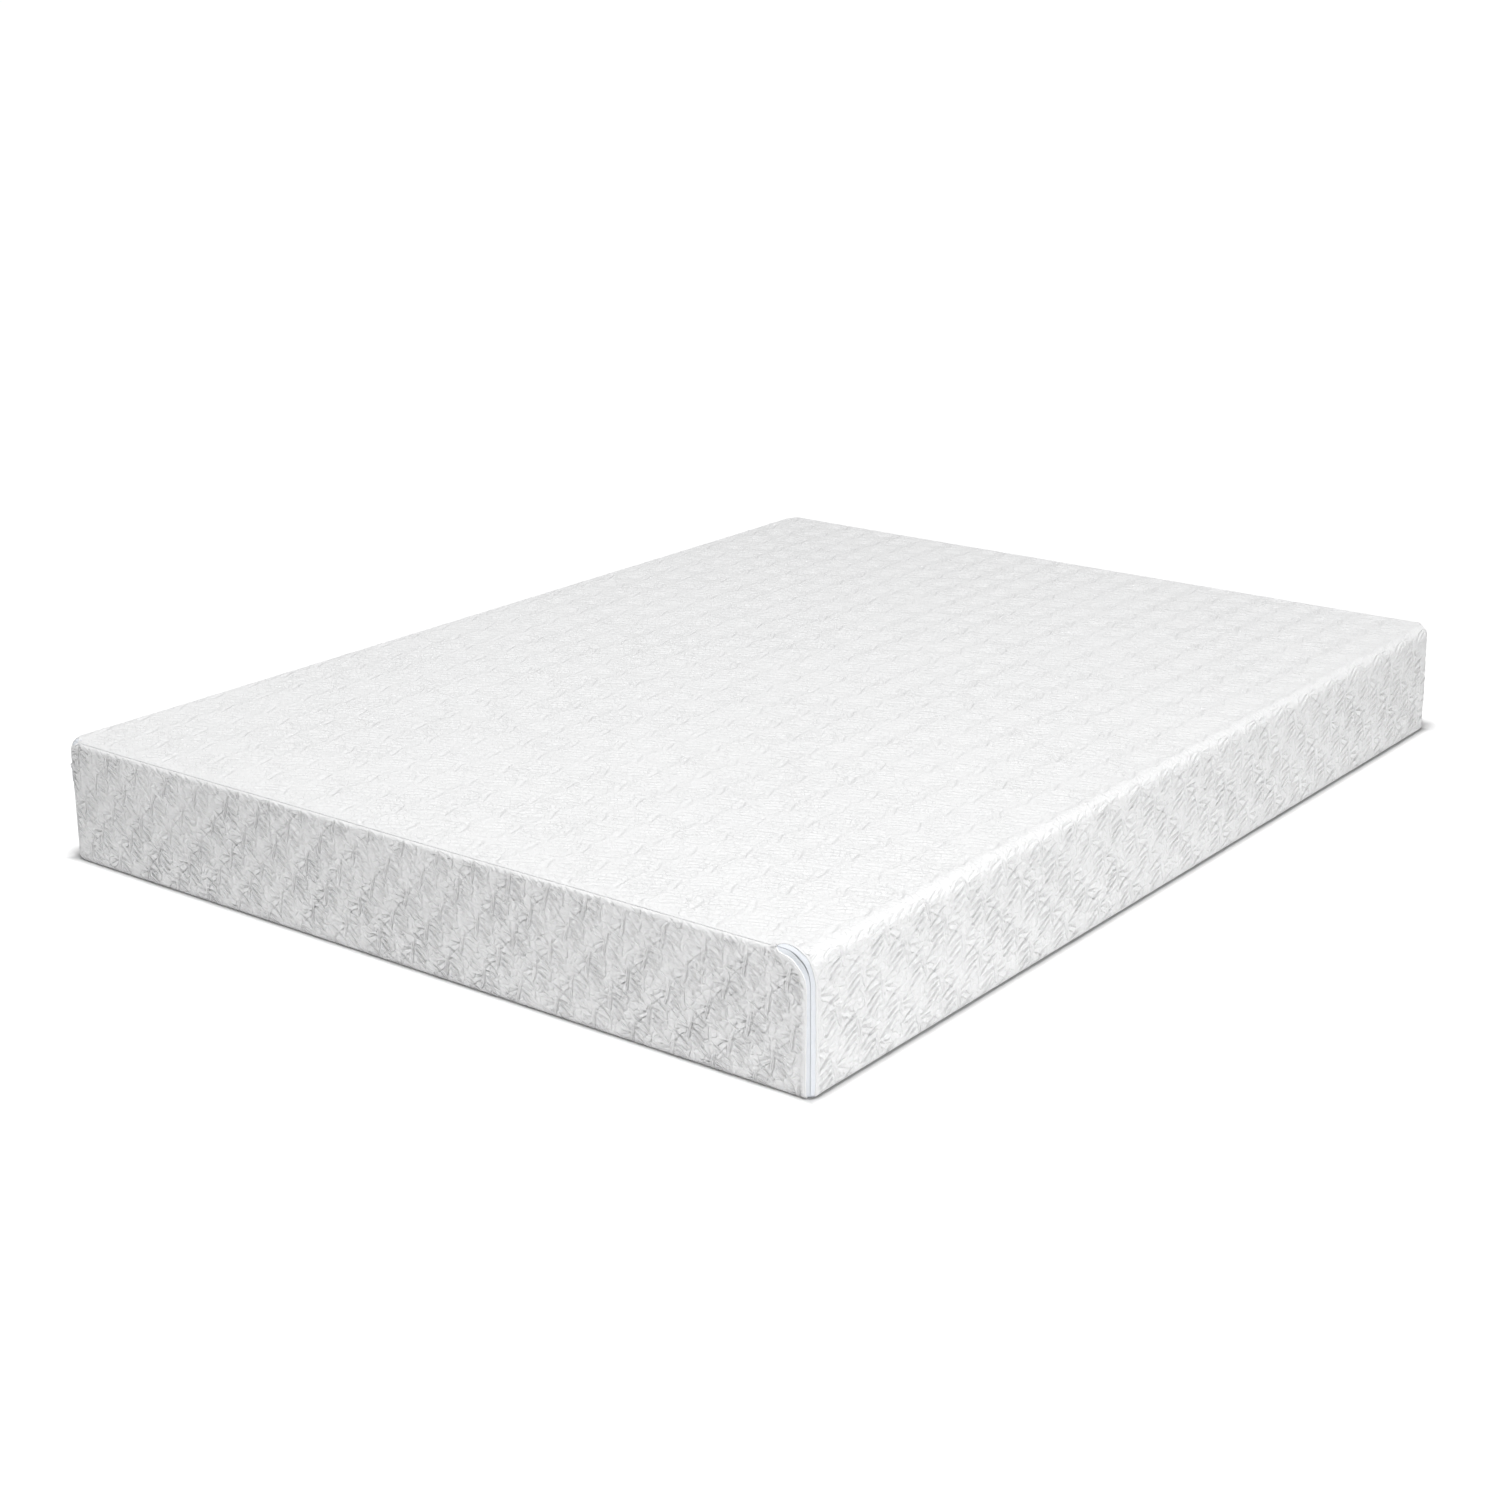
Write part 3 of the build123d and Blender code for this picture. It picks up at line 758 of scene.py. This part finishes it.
finishes = {
    "coverKnitTop": coverLook("top", 0.0008, 0.0085, 0.9),
    "coverKnitSide": coverLook("side", 0.0015, 0.0125, -0.55),
    "coverKnitEnd": coverLook("end", 0.0021, 0.0125, -0.55),
    "hemKnit": look("loops", colours["whiteKnit"], (0.00016, 0.9, 0.15), Loop=0.0022, Uneven=0.5),
    "baseCloth": look("loops", colours["base"], (0.00016, 0.92, 0.05), Loop=0.0016, Uneven=0.3),
    "zipTape": look("weave", colours["tape"], (0.00006, 0.7, 0.1), Ribs=5200.0, Along=5200.0),
    "seamThread": look("weave", colours["thread"], (0.00008, 0.65, 0.1), Ribs=7000.0, Along=3000.0),
    "sockKnit": look("loops", colours["sock"], (0.00030, 0.95, 0.1), Loop=0.0019, Uneven=0.4),
    "sockThread": look("weave", colours["sockThread"], (0.00012, 0.8, 0.1), Ribs=4000.0, Along=2500.0),
    "memoryFoam": look("foam", colours["memory"], (0.0002, 0.95, 0.0), Pore=0.0011),
    "transitionFoam": look("foam", colours["transition"], (0.0003, 0.95, 0.0), Pore=0.0016),
    "supportFoam": look("foam", colours["support"], (0.0004, 0.95, 0.0), Pore=0.0022),
    "labelCloth": look("weave", colours["label"], (0.00004, 0.6, 0.05), Ribs=6000.0, Along=6000.0),
    "zipCoil": look("grain", colours["coil"], (0.00002, 0.35, 0.0), Grain=0.0008),
    "zipMetal": {**look("grain", colours["metal"], (0.00002, 0.34, 0.0), Grain=0.0006), "metal": 1.0},
    "glueFilm": look("grain", colours["glue"], (0.0001, 0.4, 0.0), Grain=0.012),
}


# The motif's strokes and the crinkles, as deep as the relief is at each point
def carvedNormal(tree, place, kind):
    spot = addNode(tree, "ShaderNodeUVMap", {"uv_map": "knitPlace"}).outputs["UV"]
    height = 0.0
    for stroke in knitMotif:
        half, wide, bend, rise = stroke[3:]
        centre, (along, across) = strokeFrame(stroke, kind["knit"])
        part = addNode(
            tree, "ShaderNodeGroup", {"node_tree": effects["stroke"]},
            Place=spot, Centre=(*(centre - 0.5), 0), Along=(*along, 0), Across=(*across, 0),
            Half=half, Wide=0.9 * wide, Bend=bend, Rise=rise, Before=height,
        )
        height = part.outputs["Height"]
    crinkle = addNode(
        tree, "ShaderNodeGroup", {"node_tree": effects["crinkle"]},
        Vector=place, Pillow=kind["pillow"], Crease=kind["crease"],
    )
    height = mathNode(tree, "ADD", height, crinkle.outputs["Height"])
    depth = addNode(tree, "ShaderNodeAttribute", {"attribute_name": "reliefDepth"}).outputs["Fac"]
    height = mathNode(tree, "MULTIPLY", height, depth)
    carved = addNode(tree, "ShaderNodeBump", None, Height=height, Strength=1.0, Distance=kind["carve"])
    return carved.outputs["Normal"]


def makeFinish(name):
    kind = finishes[name]
    material = bpy.data.materials.new(name)
    material.use_nodes = True
    tree = material.node_tree
    shader = tree.nodes["Principled BSDF"]
    place = addNode(tree, "ShaderNodeTexCoord").outputs["Object"]
    group = {"node_tree": effects[kind["effect"]]}
    effect = addNode(tree, "ShaderNodeGroup", group, Vector=place, **kind["sizes"]).outputs
    dark, light = (*kind["dark"], 1), (*kind["light"], 1)
    colour = addNode(tree, "ShaderNodeMix", {"data_type": "RGBA"}, i0=effect["Shade"], i6=dark, i7=light)
    tree.links.new(colour.outputs[2], shader.inputs["Base Color"])
    bump = addNode(tree, "ShaderNodeBump", None, Height=effect["Height"], Strength=1.0, Distance=kind["bump"])
    if "knit" in kind:
        tree.links.new(carvedNormal(tree, place, kind), bump.inputs["Normal"])
    tree.links.new(bump.outputs["Normal"], shader.inputs["Normal"])
    rough = mathNode(tree, "MULTIPLY_ADD", effect["Shade"], 0.08, kind["rough"] - 0.04)
    tree.links.new(rough, shader.inputs["Roughness"])
    shader.inputs["Sheen Weight"].default_value = kind["sheen"]
    shader.inputs["Metallic"].default_value = kind.get("metal", 0.0)
    shader.inputs["Specular IOR Level"].default_value = 0.5 if kind["rough"] < 0.5 else 0.25
    return material


finish = {name: makeFinish(name) for name in finishes}


def dress(piece, name, slot):
    index = np.zeros(len(piece.data.polygons), dtype=np.int32)
    piece.data.polygons.foreach_get("material_index", index)
    piece.data.materials.clear()
    for each in ("coverKnitTop", "coverKnitSide", "coverKnitEnd") if name == "coverKnit" else (name,):
        piece.data.materials.append(finish[each])
    piece.data.polygons.foreach_set("material_index", index)


# Cover pieces


def keepFaces(mesh, keep):
    bm = bmesh.new()
    bm.from_mesh(mesh)
    bm.faces.ensure_lookup_table()
    bmesh.ops.delete(bm, geom=[bm.faces[i] for i in np.flatnonzero(~keep)], context="FACES")
    return bm


def giveThickness(piece, depth):
    wall = piece.modifiers.new("wall", "SOLIDIFY")
    wall.thickness = depth
    wall.offset = -1
    wall.use_even_offset = False


def fixed(piece, name, slot, *nodes):
    dress(piece, name, slot)
    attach(piece, root)
    if nodes:
        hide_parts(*nodes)


# What hangs on the flap: dressed, its transform baked into the mesh, and its CAD parts hidden
def folding(piece, name, slot, *nodes):
    dress(piece, name, slot)
    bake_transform(piece)
    if nodes:
        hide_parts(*nodes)


footMesh, footA, footB = makeEndSheet("coverEndFlap", -1)
fromZip = faceMiddles(footMesh, zipOffset(footA, footB)[0])
openEdge = zipRoute["opening"]
gusset = keepFaces(footMesh, (fromZip > openEdge) & (faceMiddles(footMesh, footB) > 0))
gussetMesh = bpy.data.meshes.new("coverGusset")
gusset.to_mesh(gussetMesh)
gusset.free()
flapEdge = openEdge - zipRoute["hemCover"] + zipRoute["hemFlap"]
acrossFoot, upFoot = faceMiddles(footMesh, footA), faceMiddles(footMesh, footB)
closedTop = np.abs(acrossFoot) < halfWidth - topBend(acrossFoot) - zipRoute["straight"]
onFlap = (fromZip < -flapEdge) | closedTop & (upFoot > 0.5 * fullHeight)
flap = newPiece("coverEndFlap", keepFaces(footMesh, onFlap))
bpy.data.meshes.remove(footMesh)

wrapMesh, fromZip = makeWrap()
wrap = keepFaces(wrapMesh, faceMiddles(wrapMesh, fromZip) > openEdge)
bpy.data.meshes.remove(wrapMesh)
wrap.from_mesh(gussetMesh)
bmesh.ops.remove_doubles(wrap, verts=wrap.verts, dist=0.0001)
wrap = newPiece("coverWrap", wrap)
fixed(wrap, "coverKnit", "cover_knit", "cover_wrap")

headMesh, _, headB = makeEndSheet("coverHeadPanel", 1)
head = newPiece("coverHeadPanel", keepFaces(headMesh, faceMiddles(headMesh, headB) > 0))
fixed(head, "coverKnit", "cover_knit", "cover_head_panel")
print("cover skins", len(wrap.data.polygons), len(flap.data.polygons), len(head.data.polygons))


# Spacing that is fine at both ends and coarse in the middle
def eased(t):
    return (1 - np.cos(math.pi * t)) / 2


def makeBasePanel():
    near = zipRoute["under"] + openEdge

    def place(u, v):
        y = near - halfLength + (2 * halfLength - near) * eased(v)
        return softShape(np.column_stack((halfWidth * (1 - 2 * eased(u)), y, 0 * u))) + [0, 0, 0.0004]

    return laidPiece("coverBasePanel", 130, 170, place)


fixed(makeBasePanel(), "baseCloth", "base_fabric", "cover_base_panel")


# Zip


def makeTape(name, side):
    z = zipRoute
    steps = round(zipLength / 0.0025)

    def place(u, v):
        o = z["chainGap"] + (z["tapeReach"] - z["chainGap"]) * (1 - v if side > 0 else v)
        ridge = 0.0005 * np.exp(-(((o - z["chainGap"]) / 0.0011) ** 2))
        wander = 0.00025 * np.sin(u * zipLength * 190) * smoothStep(o, 0.002, 0.008)
        return alongZip(u * zipLength, side * o, -z["tapeSink"] + ridge + wander)

    tape = laidPiece(name, steps, 9, place)
    giveThickness(tape, 0.0007)
    return tape


# The coil is one long spring of nylon line behind each tape's edge
def makeCoil(name, side):
    coil = {
        "pitch": 0.0016,
        "wide": 0.0013,
        "deep": 0.0007,
        "line": 0.00032,
        "turnSteps": 7,
        "middle": 0.0019,
        "sink": 0.0026,
    }
    turns = round(zipLength / coil["pitch"])
    turn = np.linspace(0, 2 * math.pi * turns, turns * coil["turnSteps"] + 1)
    s = turn / (2 * math.pi * turns) * zipLength
    o = side * (coil["middle"] + coil["wide"] * np.cos(turn))
    centres = alongZip(s, o, coil["deep"] * np.sin(turn) - coil["sink"])
    outward = centres - alongZip(s, side * coil["middle"] + 0 * s, 0 * s - coil["sink"])
    return tubePiece(name, centres, outward, coil["line"], sides=4)


# Half-round roll of knit along the edge of the opening, closing to a point at both ends of the zip
def makeHem(name, side):
    width = zipRoute["hemCover"] if side > 0 else zipRoute["hemFlap"]
    s = np.linspace(0, zipLength, round(zipLength / 0.0022))
    fromStart = np.clip(np.minimum(s, zipLength - s) / 0.011, 0, 1)
    o = side * width * np.sqrt(1 - (1 - fromStart) ** 2)
    a, b = besideZip(s, o)
    radius = 0.00135 * (1 + 0.10 * np.sin(s * 830) + 0.08 * np.sin(s * 367 + 1))
    radius[0] = radius[-1] = 0
    return tubePiece(name, onEnd(a, b, -0.0002), facing(a, b), radius)


def makeTapeStitching(name, side):
    stitch = {"pitch": 0.0042, "half": 0.0016, "thick": 0.00030, "cover": 0.0148, "flap": 0.0124}
    count = round((zipLength - 0.02) / stitch["pitch"])

    def place(number, x, y, z):
        s = 0.01 + (number + 0.5) * stitch["pitch"] + x * stitch["half"]
        o = side * stitch["cover" if side > 0 else "flap"] + y * stitch["thick"]
        return alongZip(s, o, 0.0009 + stitch["thick"] * z + 0.0003 * (1 - x**2))

    return stitchPiece(name, count, place)


def addZipHalf(side, put, half, hem):
    put(makeTape("zipTape" + half, side), "zipTape", "zip_tape", "zip_tape_" + half.lower())
    put(makeCoil("zipCoil" + half, side), "zipCoil", "zip_coil", "zip_coil_" + half.lower())
    put(makeHem(hem, side), "hemKnit", "cover_knit")
    stitching = makeTapeStitching(half.lower() + "TapeStitching", side)
    put(stitching, "seamThread", "seam_thread", half.lower() + "_tape_stitching")


addZipHalf(1, fixed, "Cover", "coverHemFixed")
folding(flap, "coverKnit", "cover_knit", "cover_end_flap")
giveThickness(flap, 0.0014)
addZipHalf(-1, folding, "Flap", "coverHemFlap")
print("zip", round(zipLength, 3))


# Tight bars of thread that end the zip, laid across it
def makeEndTacks():
    tack = {"bars": 9, "pitch": 0.00075, "half": 0.0062, "thick": 0.00042, "from": 0.0075}

    def place(number, x, y, z):
        side = np.where(number < tack["bars"], -1, 1)
        step = number % tack["bars"]
        start = halfWidth - topBend(side) - zipRoute["straight"]
        a = side * (start - tack["from"] + step * tack["pitch"] + y * tack["thick"])
        b = fullHeight + x * tack["half"]
        return onEnd(a, b, 0.0007 + tack["thick"] * z + 0.0004 * (1 - x**2))

    return stitchPiece("zipEndTacks", 2 * tack["bars"], place)


fixed(makeEndTacks(), "seamThread", "seam_thread", "zip_end_tacks")


# Seams of the cover: a cord of overlocked thread lying in the dip between two panels
seam = {"radius": 0.00115, "step": 0.0022, "sink": 0.0004, "loops": 1450}


def seamRadius(length, count):
    s = np.linspace(0, length, count)
    return seam["radius"] * (1 + 0.16 * np.sin(s * seam["loops"]))


def makeFoldSeam():
    left, right = (halfWidth - float(topBend(side)) - zipRoute["straight"] - 0.004 for side in (-1, 1))
    count = round((left + right) / seam["step"])
    a = np.linspace(-left, right, count)
    b = np.full(count, fullHeight)
    radius = seamRadius(left + right, count)
    radius[0] = radius[-1] = 0
    return tubePiece("flapFoldSeam", onEnd(a, b, -seam["sink"]), facing(a, b), radius)


def makeHeadSeam():
    high, wide = fullHeight, halfWidth
    corners = ((-wide, 0.0), (-wide, high), (wide, high), (wide, 0.0), (-wide, 0.0))
    a, b = [], []
    for (a0, b0), (a1, b1) in zip(corners, corners[1:]):
        count = round(math.hypot(a1 - a0, b1 - b0) / seam["step"])
        a.append(np.linspace(a0, a1, count, endpoint=False))
        b.append(np.linspace(b0, b1, count, endpoint=False))
    a = np.append(np.concatenate(a), corners[0][0])
    b = np.append(np.concatenate(b), corners[0][1])
    outward = facing(a, b, 1)
    outward[-1] = outward[0]
    centres = onEnd(a, b, 0.0, 1) - outward * seam["sink"]
    return tubePiece("headPanelSeam", centres, outward, seamRadius(3.5, len(a)))


def makeSideSeams():
    count = round((2 * halfLength - zipRoute["hemCover"]) / seam["step"])
    y = np.linspace(zipRoute["hemCover"] - halfLength, halfLength, count)
    both = None
    for side in (-1, 1):
        edge = softShape(np.column_stack((np.full(count, side * halfWidth), y, np.zeros(count))))
        outward = np.tile([side * 0.7071, 0, -0.7071], (count, 1))
        radius = seamRadius(2.0, count)
        radius[0] = radius[-1] = 0
        tube = tubePiece("sideSeams", edge - outward * seam["sink"], outward, radius)
        if both is None:
            both = tube
            continue
        bm = bmesh.new()
        bm.from_mesh(both.data)
        bm.from_mesh(tube.data)
        bm.to_mesh(both.data)
        bm.free()
        bpy.data.objects.remove(tube)
    return both


fixed(makeFoldSeam(), "seamThread", "seam_thread", "flap_fold_seam")
fixed(makeHeadSeam(), "seamThread", "seam_thread", "head_panel_seam")
fixed(makeSideSeams(), "seamThread", "seam_thread", "side_seams")
print("seams")


# Fire sock: a knitted tube with a cap at each end
sock = {
    "inset": 0.0031,
    "plan": 0.041,
    "capReach": 0.055,
    "pucker": 0.00045,
    "bead": 0.0011,
    "across": 64,
    "up": 22,
}


# Once round the body's section, with so many steps across and up: up one side, over, down and back under
def aroundBody(u, across, up):
    k = u * 2 * (across + up)
    rise, over = eased(np.clip(k / up, 0, 1)), eased(np.clip((k - up) / across, 0, 1))
    fall = eased(np.clip((k - up - across) / up, 0, 1))
    back = eased(np.clip((k - 2 * up - across) / across, 0, 1))
    return halfWidth * (2 * over - 1 - 2 * back), fullHeight * (rise - fall)


def makeSleeve():
    across, up = sock["across"], sock["up"]
    reach = halfLength - sock["capReach"]

    def place(u, v):
        x, z = aroundBody(u, across, up)
        y = reach * (2 * eased(v) - 1)
        return softShape(np.column_stack((x, y, z)), sock["inset"], sock["plan"])

    return laidPiece("fireSockSleeve", 2 * (across + up), 90, place, merge=0.00002)


def makeCap(name, end):
    reach = sock["capReach"]

    def place(u, v):
        a = (halfWidth + reach) * (2 * u - 1)
        b = (fullHeight + 2 * reach) * v - reach
        points = softShape(foldOut(a, b, end), sock["inset"], sock["plan"])
        pull = sock["pucker"] * np.sin(a * 118 + 2.2 * np.sin(b * 41)) * np.sin(b * 33 + 1.3 * np.sin(a * 19))
        return points + np.column_stack((0 * a, -end * (np.abs(pull) + 0.5 * sock["pucker"]), 0 * a))

    return laidPiece(name, 260, 56, place, merge=0.00005)


def makeCapSeam(name, end):
    u = np.linspace(0, 1, 1500)
    x, z = aroundBody(u, sock["across"], sock["up"])
    y = np.full(len(u), end * (halfLength - sock["capReach"]))
    centres = softShape(np.column_stack((x, y, z)), sock["inset"] - 0.0002, sock["plan"])
    outward = np.cross(np.gradient(centres, axis=0), [0, 1, 0])
    outward[0] = outward[-1] = [-0.7071, 0, -0.7071]
    return tubePiece(name, centres, outward, sock["bead"] * (1 + 0.18 * np.sin(u * 7400)), sides=5)


fixed(makeSleeve(), "sockKnit", "sock_knit", "fire_sock_sleeve")
fixed(makeCap("fireSockHeadEnd", 1), "sockKnit", "sock_knit", "fire_sock_head_end")
fixed(makeCap("fireSockFootEnd", -1), "sockKnit", "sock_knit", "fire_sock_foot_end")
fixed(makeCapSeam("fireSockHeadSeam", 1), "sockThread", "sock_thread", "fire_sock_head_seam")
fixed(makeCapSeam("fireSockFootSeam", -1), "sockThread", "sock_thread", "fire_sock_foot_seam")
print("fire sock")


# Foam core: three slabs and the glue between them
core = {"inset": 0.0042, "plan": 0.040}


def makeSlab(name, node, cuts, finishName, slot):
    low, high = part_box(node)
    bm = bmesh.new()
    bmesh.ops.create_cube(bm, size=2.0)
    bmesh.ops.subdivide_edges(bm, edges=bm.edges[:], cuts=cuts, use_grid_fill=True)
    points = np.array([v.co for v in bm.verts])
    spread = np.sin(points * math.pi / 2)
    z = low.z + (high.z - low.z) * (points[:, 2] + 1) / 2
    inner = [halfWidth - core["inset"], halfLength - core["inset"]]
    box = np.column_stack((spread[:, :2] * inner, z))
    for vert, point in zip(bm.verts, softShape(box, core["inset"], core["plan"])):
        vert.co = point
    slab = newPiece(name, bm)
    fixed(slab, finishName, slot, node)
    return slab


for name, node, cuts, finishName, slot in (
    ("supportFoamBase", "support_foam_base", 34, "supportFoam", "support_foam"),
    ("lowerGlueFilm", "lower_glue_film", 26, "glueFilm", "glue"),
    ("transitionFoamLayer", "transition_foam_layer", 34, "transitionFoam", "transition_foam"),
    ("upperGlueFilm", "upper_glue_film", 26, "glueFilm", "glue"),
    ("memoryFoamLayer", "memory_foam_layer", 34, "memoryFoam", "memory_foam"),
):
    slab = makeSlab(name, node, cuts, finishName, slot)
print("foam core")


# Care label, left blank
def labelPlace(a, b):
    t = careLabel
    curl = 0.0016 * smoothStep(-(b - t["b"]) / t["high"] + np.abs(a - t["a"]) / t["wide"], 0.72, 1.0)
    lift = 0.0009 + curl + 0.00015 * np.sin(a * 210) * np.sin(b * 170)
    return onEnd(a, t["b"] + (b - t["b"]) / (1 + softBox["swell"]), lift, 1)


def makeLabel():
    t = careLabel

    def place(u, v):
        return labelPlace(t["a"] + t["wide"] * (u - 0.5), t["b"] + t["high"] * (v - 0.5))

    label = laidPiece("careLabel", 45, 30, place)
    giveThickness(label, t["thick"])
    return label


def makeLabelStitching():
    t = careLabel
    wide, high = t["wide"] - 2 * t["inset"], t["high"] - 2 * t["inset"]
    count = round(2 * (wide + high) / t["pitch"])

    def place(number, x, y, z):
        run = (number + 0.5 + 0.36 * x) * 2 * (wide + high) / count
        turns = (0, wide, wide + high, 2 * wide + high, 2 * (wide + high))
        along = np.interp(run, turns, (0, 1, 1, 0, 0))
        rise = np.interp(run, turns, (0, 0, 1, 1, 0))
        middle = (number + 0.5) * 2 * (wide + high) / count
        level = (middle < wide) | ((middle > wide + high) & (middle < 2 * wide + high))
        a = t["a"] + wide * (along - 0.5) + np.where(level, 0, t["thread"] * y)
        b = t["b"] + high * (rise - 0.5) + np.where(level, t["thread"] * y, 0)
        return labelPlace(a, b) + facing(a, b, 1) * (t["thread"] * z + 0.00025 * (1 - x**2))[:, None]

    return stitchPiece("careLabelStitching", count, place)


label = makeLabel()
fixed(label, "labelCloth", "label_cloth", "law_label")
fixed(makeLabelStitching(), "seamThread", "seam_thread", "law_label_stitching")

for node in ("zip_slider_body", "zip_pull_tab"):
    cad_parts[node].data.materials.clear()
    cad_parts[node].data.materials.append(finish["zipMetal"])
print("label and slider")


# Floor, light and camera


def makeLamp(name, size, power, place, aim):
    light = bpy.data.lights.new(name, "AREA")
    light.shape = "DISK"
    light.size = size
    light.energy = power
    lamp = bpy.data.objects.new(name, light)
    lamp.rotation_mode = "QUATERNION"
    lamp.rotation_quaternion = (Vector(place) - Vector(aim)).to_track_quat("Z", "Y")
    lamp.location = place
    lamp.visible_camera = False
    bpy.context.scene.collection.objects.link(lamp)


studio = {
    "floorSize": 60.0,
    "skyLight": 0.20,
    "floorGlow": 0.04,
    "glowReach": (1.3, 4.5),
    "glowExtra": (0.17, 0.80),
    "contactReach": 0.07,
    # Painted contact shadow on the floor: where it starts and ends beyond the mattress's outline, and the
    # floor colours it runs between
    "paintedShadowFrom": (-0.004, 0.016),
    "paintedShadowTone": (0.58, 0.97),
    "lamps": {
        "keyLamp": (2.0, 640.0, (0.7, -1.5, 8.9)),
        "fillLamp": (1.6, 33.0, (3.6, -2.3, 1.3)),
        "sideLamp": (1.2, 15.0, (4.2, 1.2, 0.6)),
    },
}


# White floor: a painted contact shadow darkens its colour in a narrow line round the mattress, and it glows
# more to the camera further out
def makeFloor():
    bm = bmesh.new()
    bmesh.ops.create_grid(bm, x_segments=1, y_segments=1, size=studio["floorSize"])
    bmesh.ops.translate(bm, verts=bm.verts, vec=(0, 0, cadBounds[0][2] - 0.0003))
    floor = newPiece("floor", bm)
    material = bpy.data.materials.new("floorPaint")
    material.use_nodes = True
    tree = material.node_tree
    paint = tree.nodes["Principled BSDF"]
    paint.inputs["Roughness"].default_value = 0.9
    paint.inputs["Specular IOR Level"].default_value = 0.0
    spot = addNode(tree, "ShaderNodeTexCoord").outputs["Object"]
    out = vectorNode(tree, "LENGTH", "Value", i0=spot)
    far = easedRange(tree, out, *studio["glowReach"], *studio["glowExtra"])
    sides = vectorNode(tree, "ABSOLUTE", 0, i0=spot)
    beyond = vectorNode(tree, "SUBTRACT", 0, i0=sides, i1=(halfWidth, halfLength, 0.0))
    parts = addNode(tree, "ShaderNodeSeparateXYZ", None, Vector=beyond)
    gap = mathNode(tree, "MAXIMUM", parts.outputs[0], parts.outputs[1])
    clear = easedRange(tree, gap, 0.0, studio["contactReach"], 0.0, 1.0)
    # Painted contact shadow: the floor's colour darkens near the mattress's outline
    paintedContactShadow = easedRange(tree, gap, *studio["paintedShadowFrom"], *studio["paintedShadowTone"])
    tree.links.new(paintedContactShadow, paint.inputs["Base Color"])
    seen = addNode(tree, "ShaderNodeLightPath").outputs["Is Camera Ray"]
    extra = mathNode(tree, "MULTIPLY", far, clear)
    glow = mathNode(tree, "MULTIPLY_ADD", seen, extra, studio["floorGlow"])
    tree.links.new(glow, paint.inputs["Emission Strength"])
    paint.inputs["Emission Color"].default_value = (1, 1, 1, 1)
    floor.data.materials.append(material)


def makeStudio():
    world = bpy.data.worlds.new("studio")
    bpy.context.scene.world = world
    world.use_nodes = True
    tree = world.node_tree
    sky = tree.nodes["Background"]
    sky.inputs["Color"].default_value = (1, 1, 1, 1)
    seen = addNode(tree, "ShaderNodeLightPath").outputs["Is Camera Ray"]
    strength = mathNode(tree, "MULTIPLY_ADD", seen, 1.0 - studio["skyLight"], studio["skyLight"])
    tree.links.new(strength, sky.inputs["Strength"])
    nearCorner = (halfWidth, -halfLength, 0.5 * fullHeight)
    for name, lamp in studio["lamps"].items():
        makeLamp(name, *lamp, nearCorner)
    bpy.context.scene.view_settings.view_transform = "Standard"


def makeCamera():
    shot = {"azimuth": 37.08, "elevation": 18.34, "lens": 60.7, "place": (2.539, -3.502, 1.507)}
    camera = bpy.data.objects.new("camera", bpy.data.cameras.new("camera"))
    camera.data.lens = shot["lens"]
    camera.data.clip_end = 200
    a, e = math.radians(shot["azimuth"]), math.radians(shot["elevation"])
    back = Vector((math.sin(a) * math.cos(e), -math.cos(a) * math.cos(e), math.sin(e)))
    camera.rotation_mode = "QUATERNION"
    camera.rotation_quaternion = back.to_track_quat("Z", "Y")
    camera.location = shot["place"]
    bpy.context.scene.collection.objects.link(camera)
    bpy.context.scene.camera = camera


makeFloor()
makeStudio()
makeCamera()
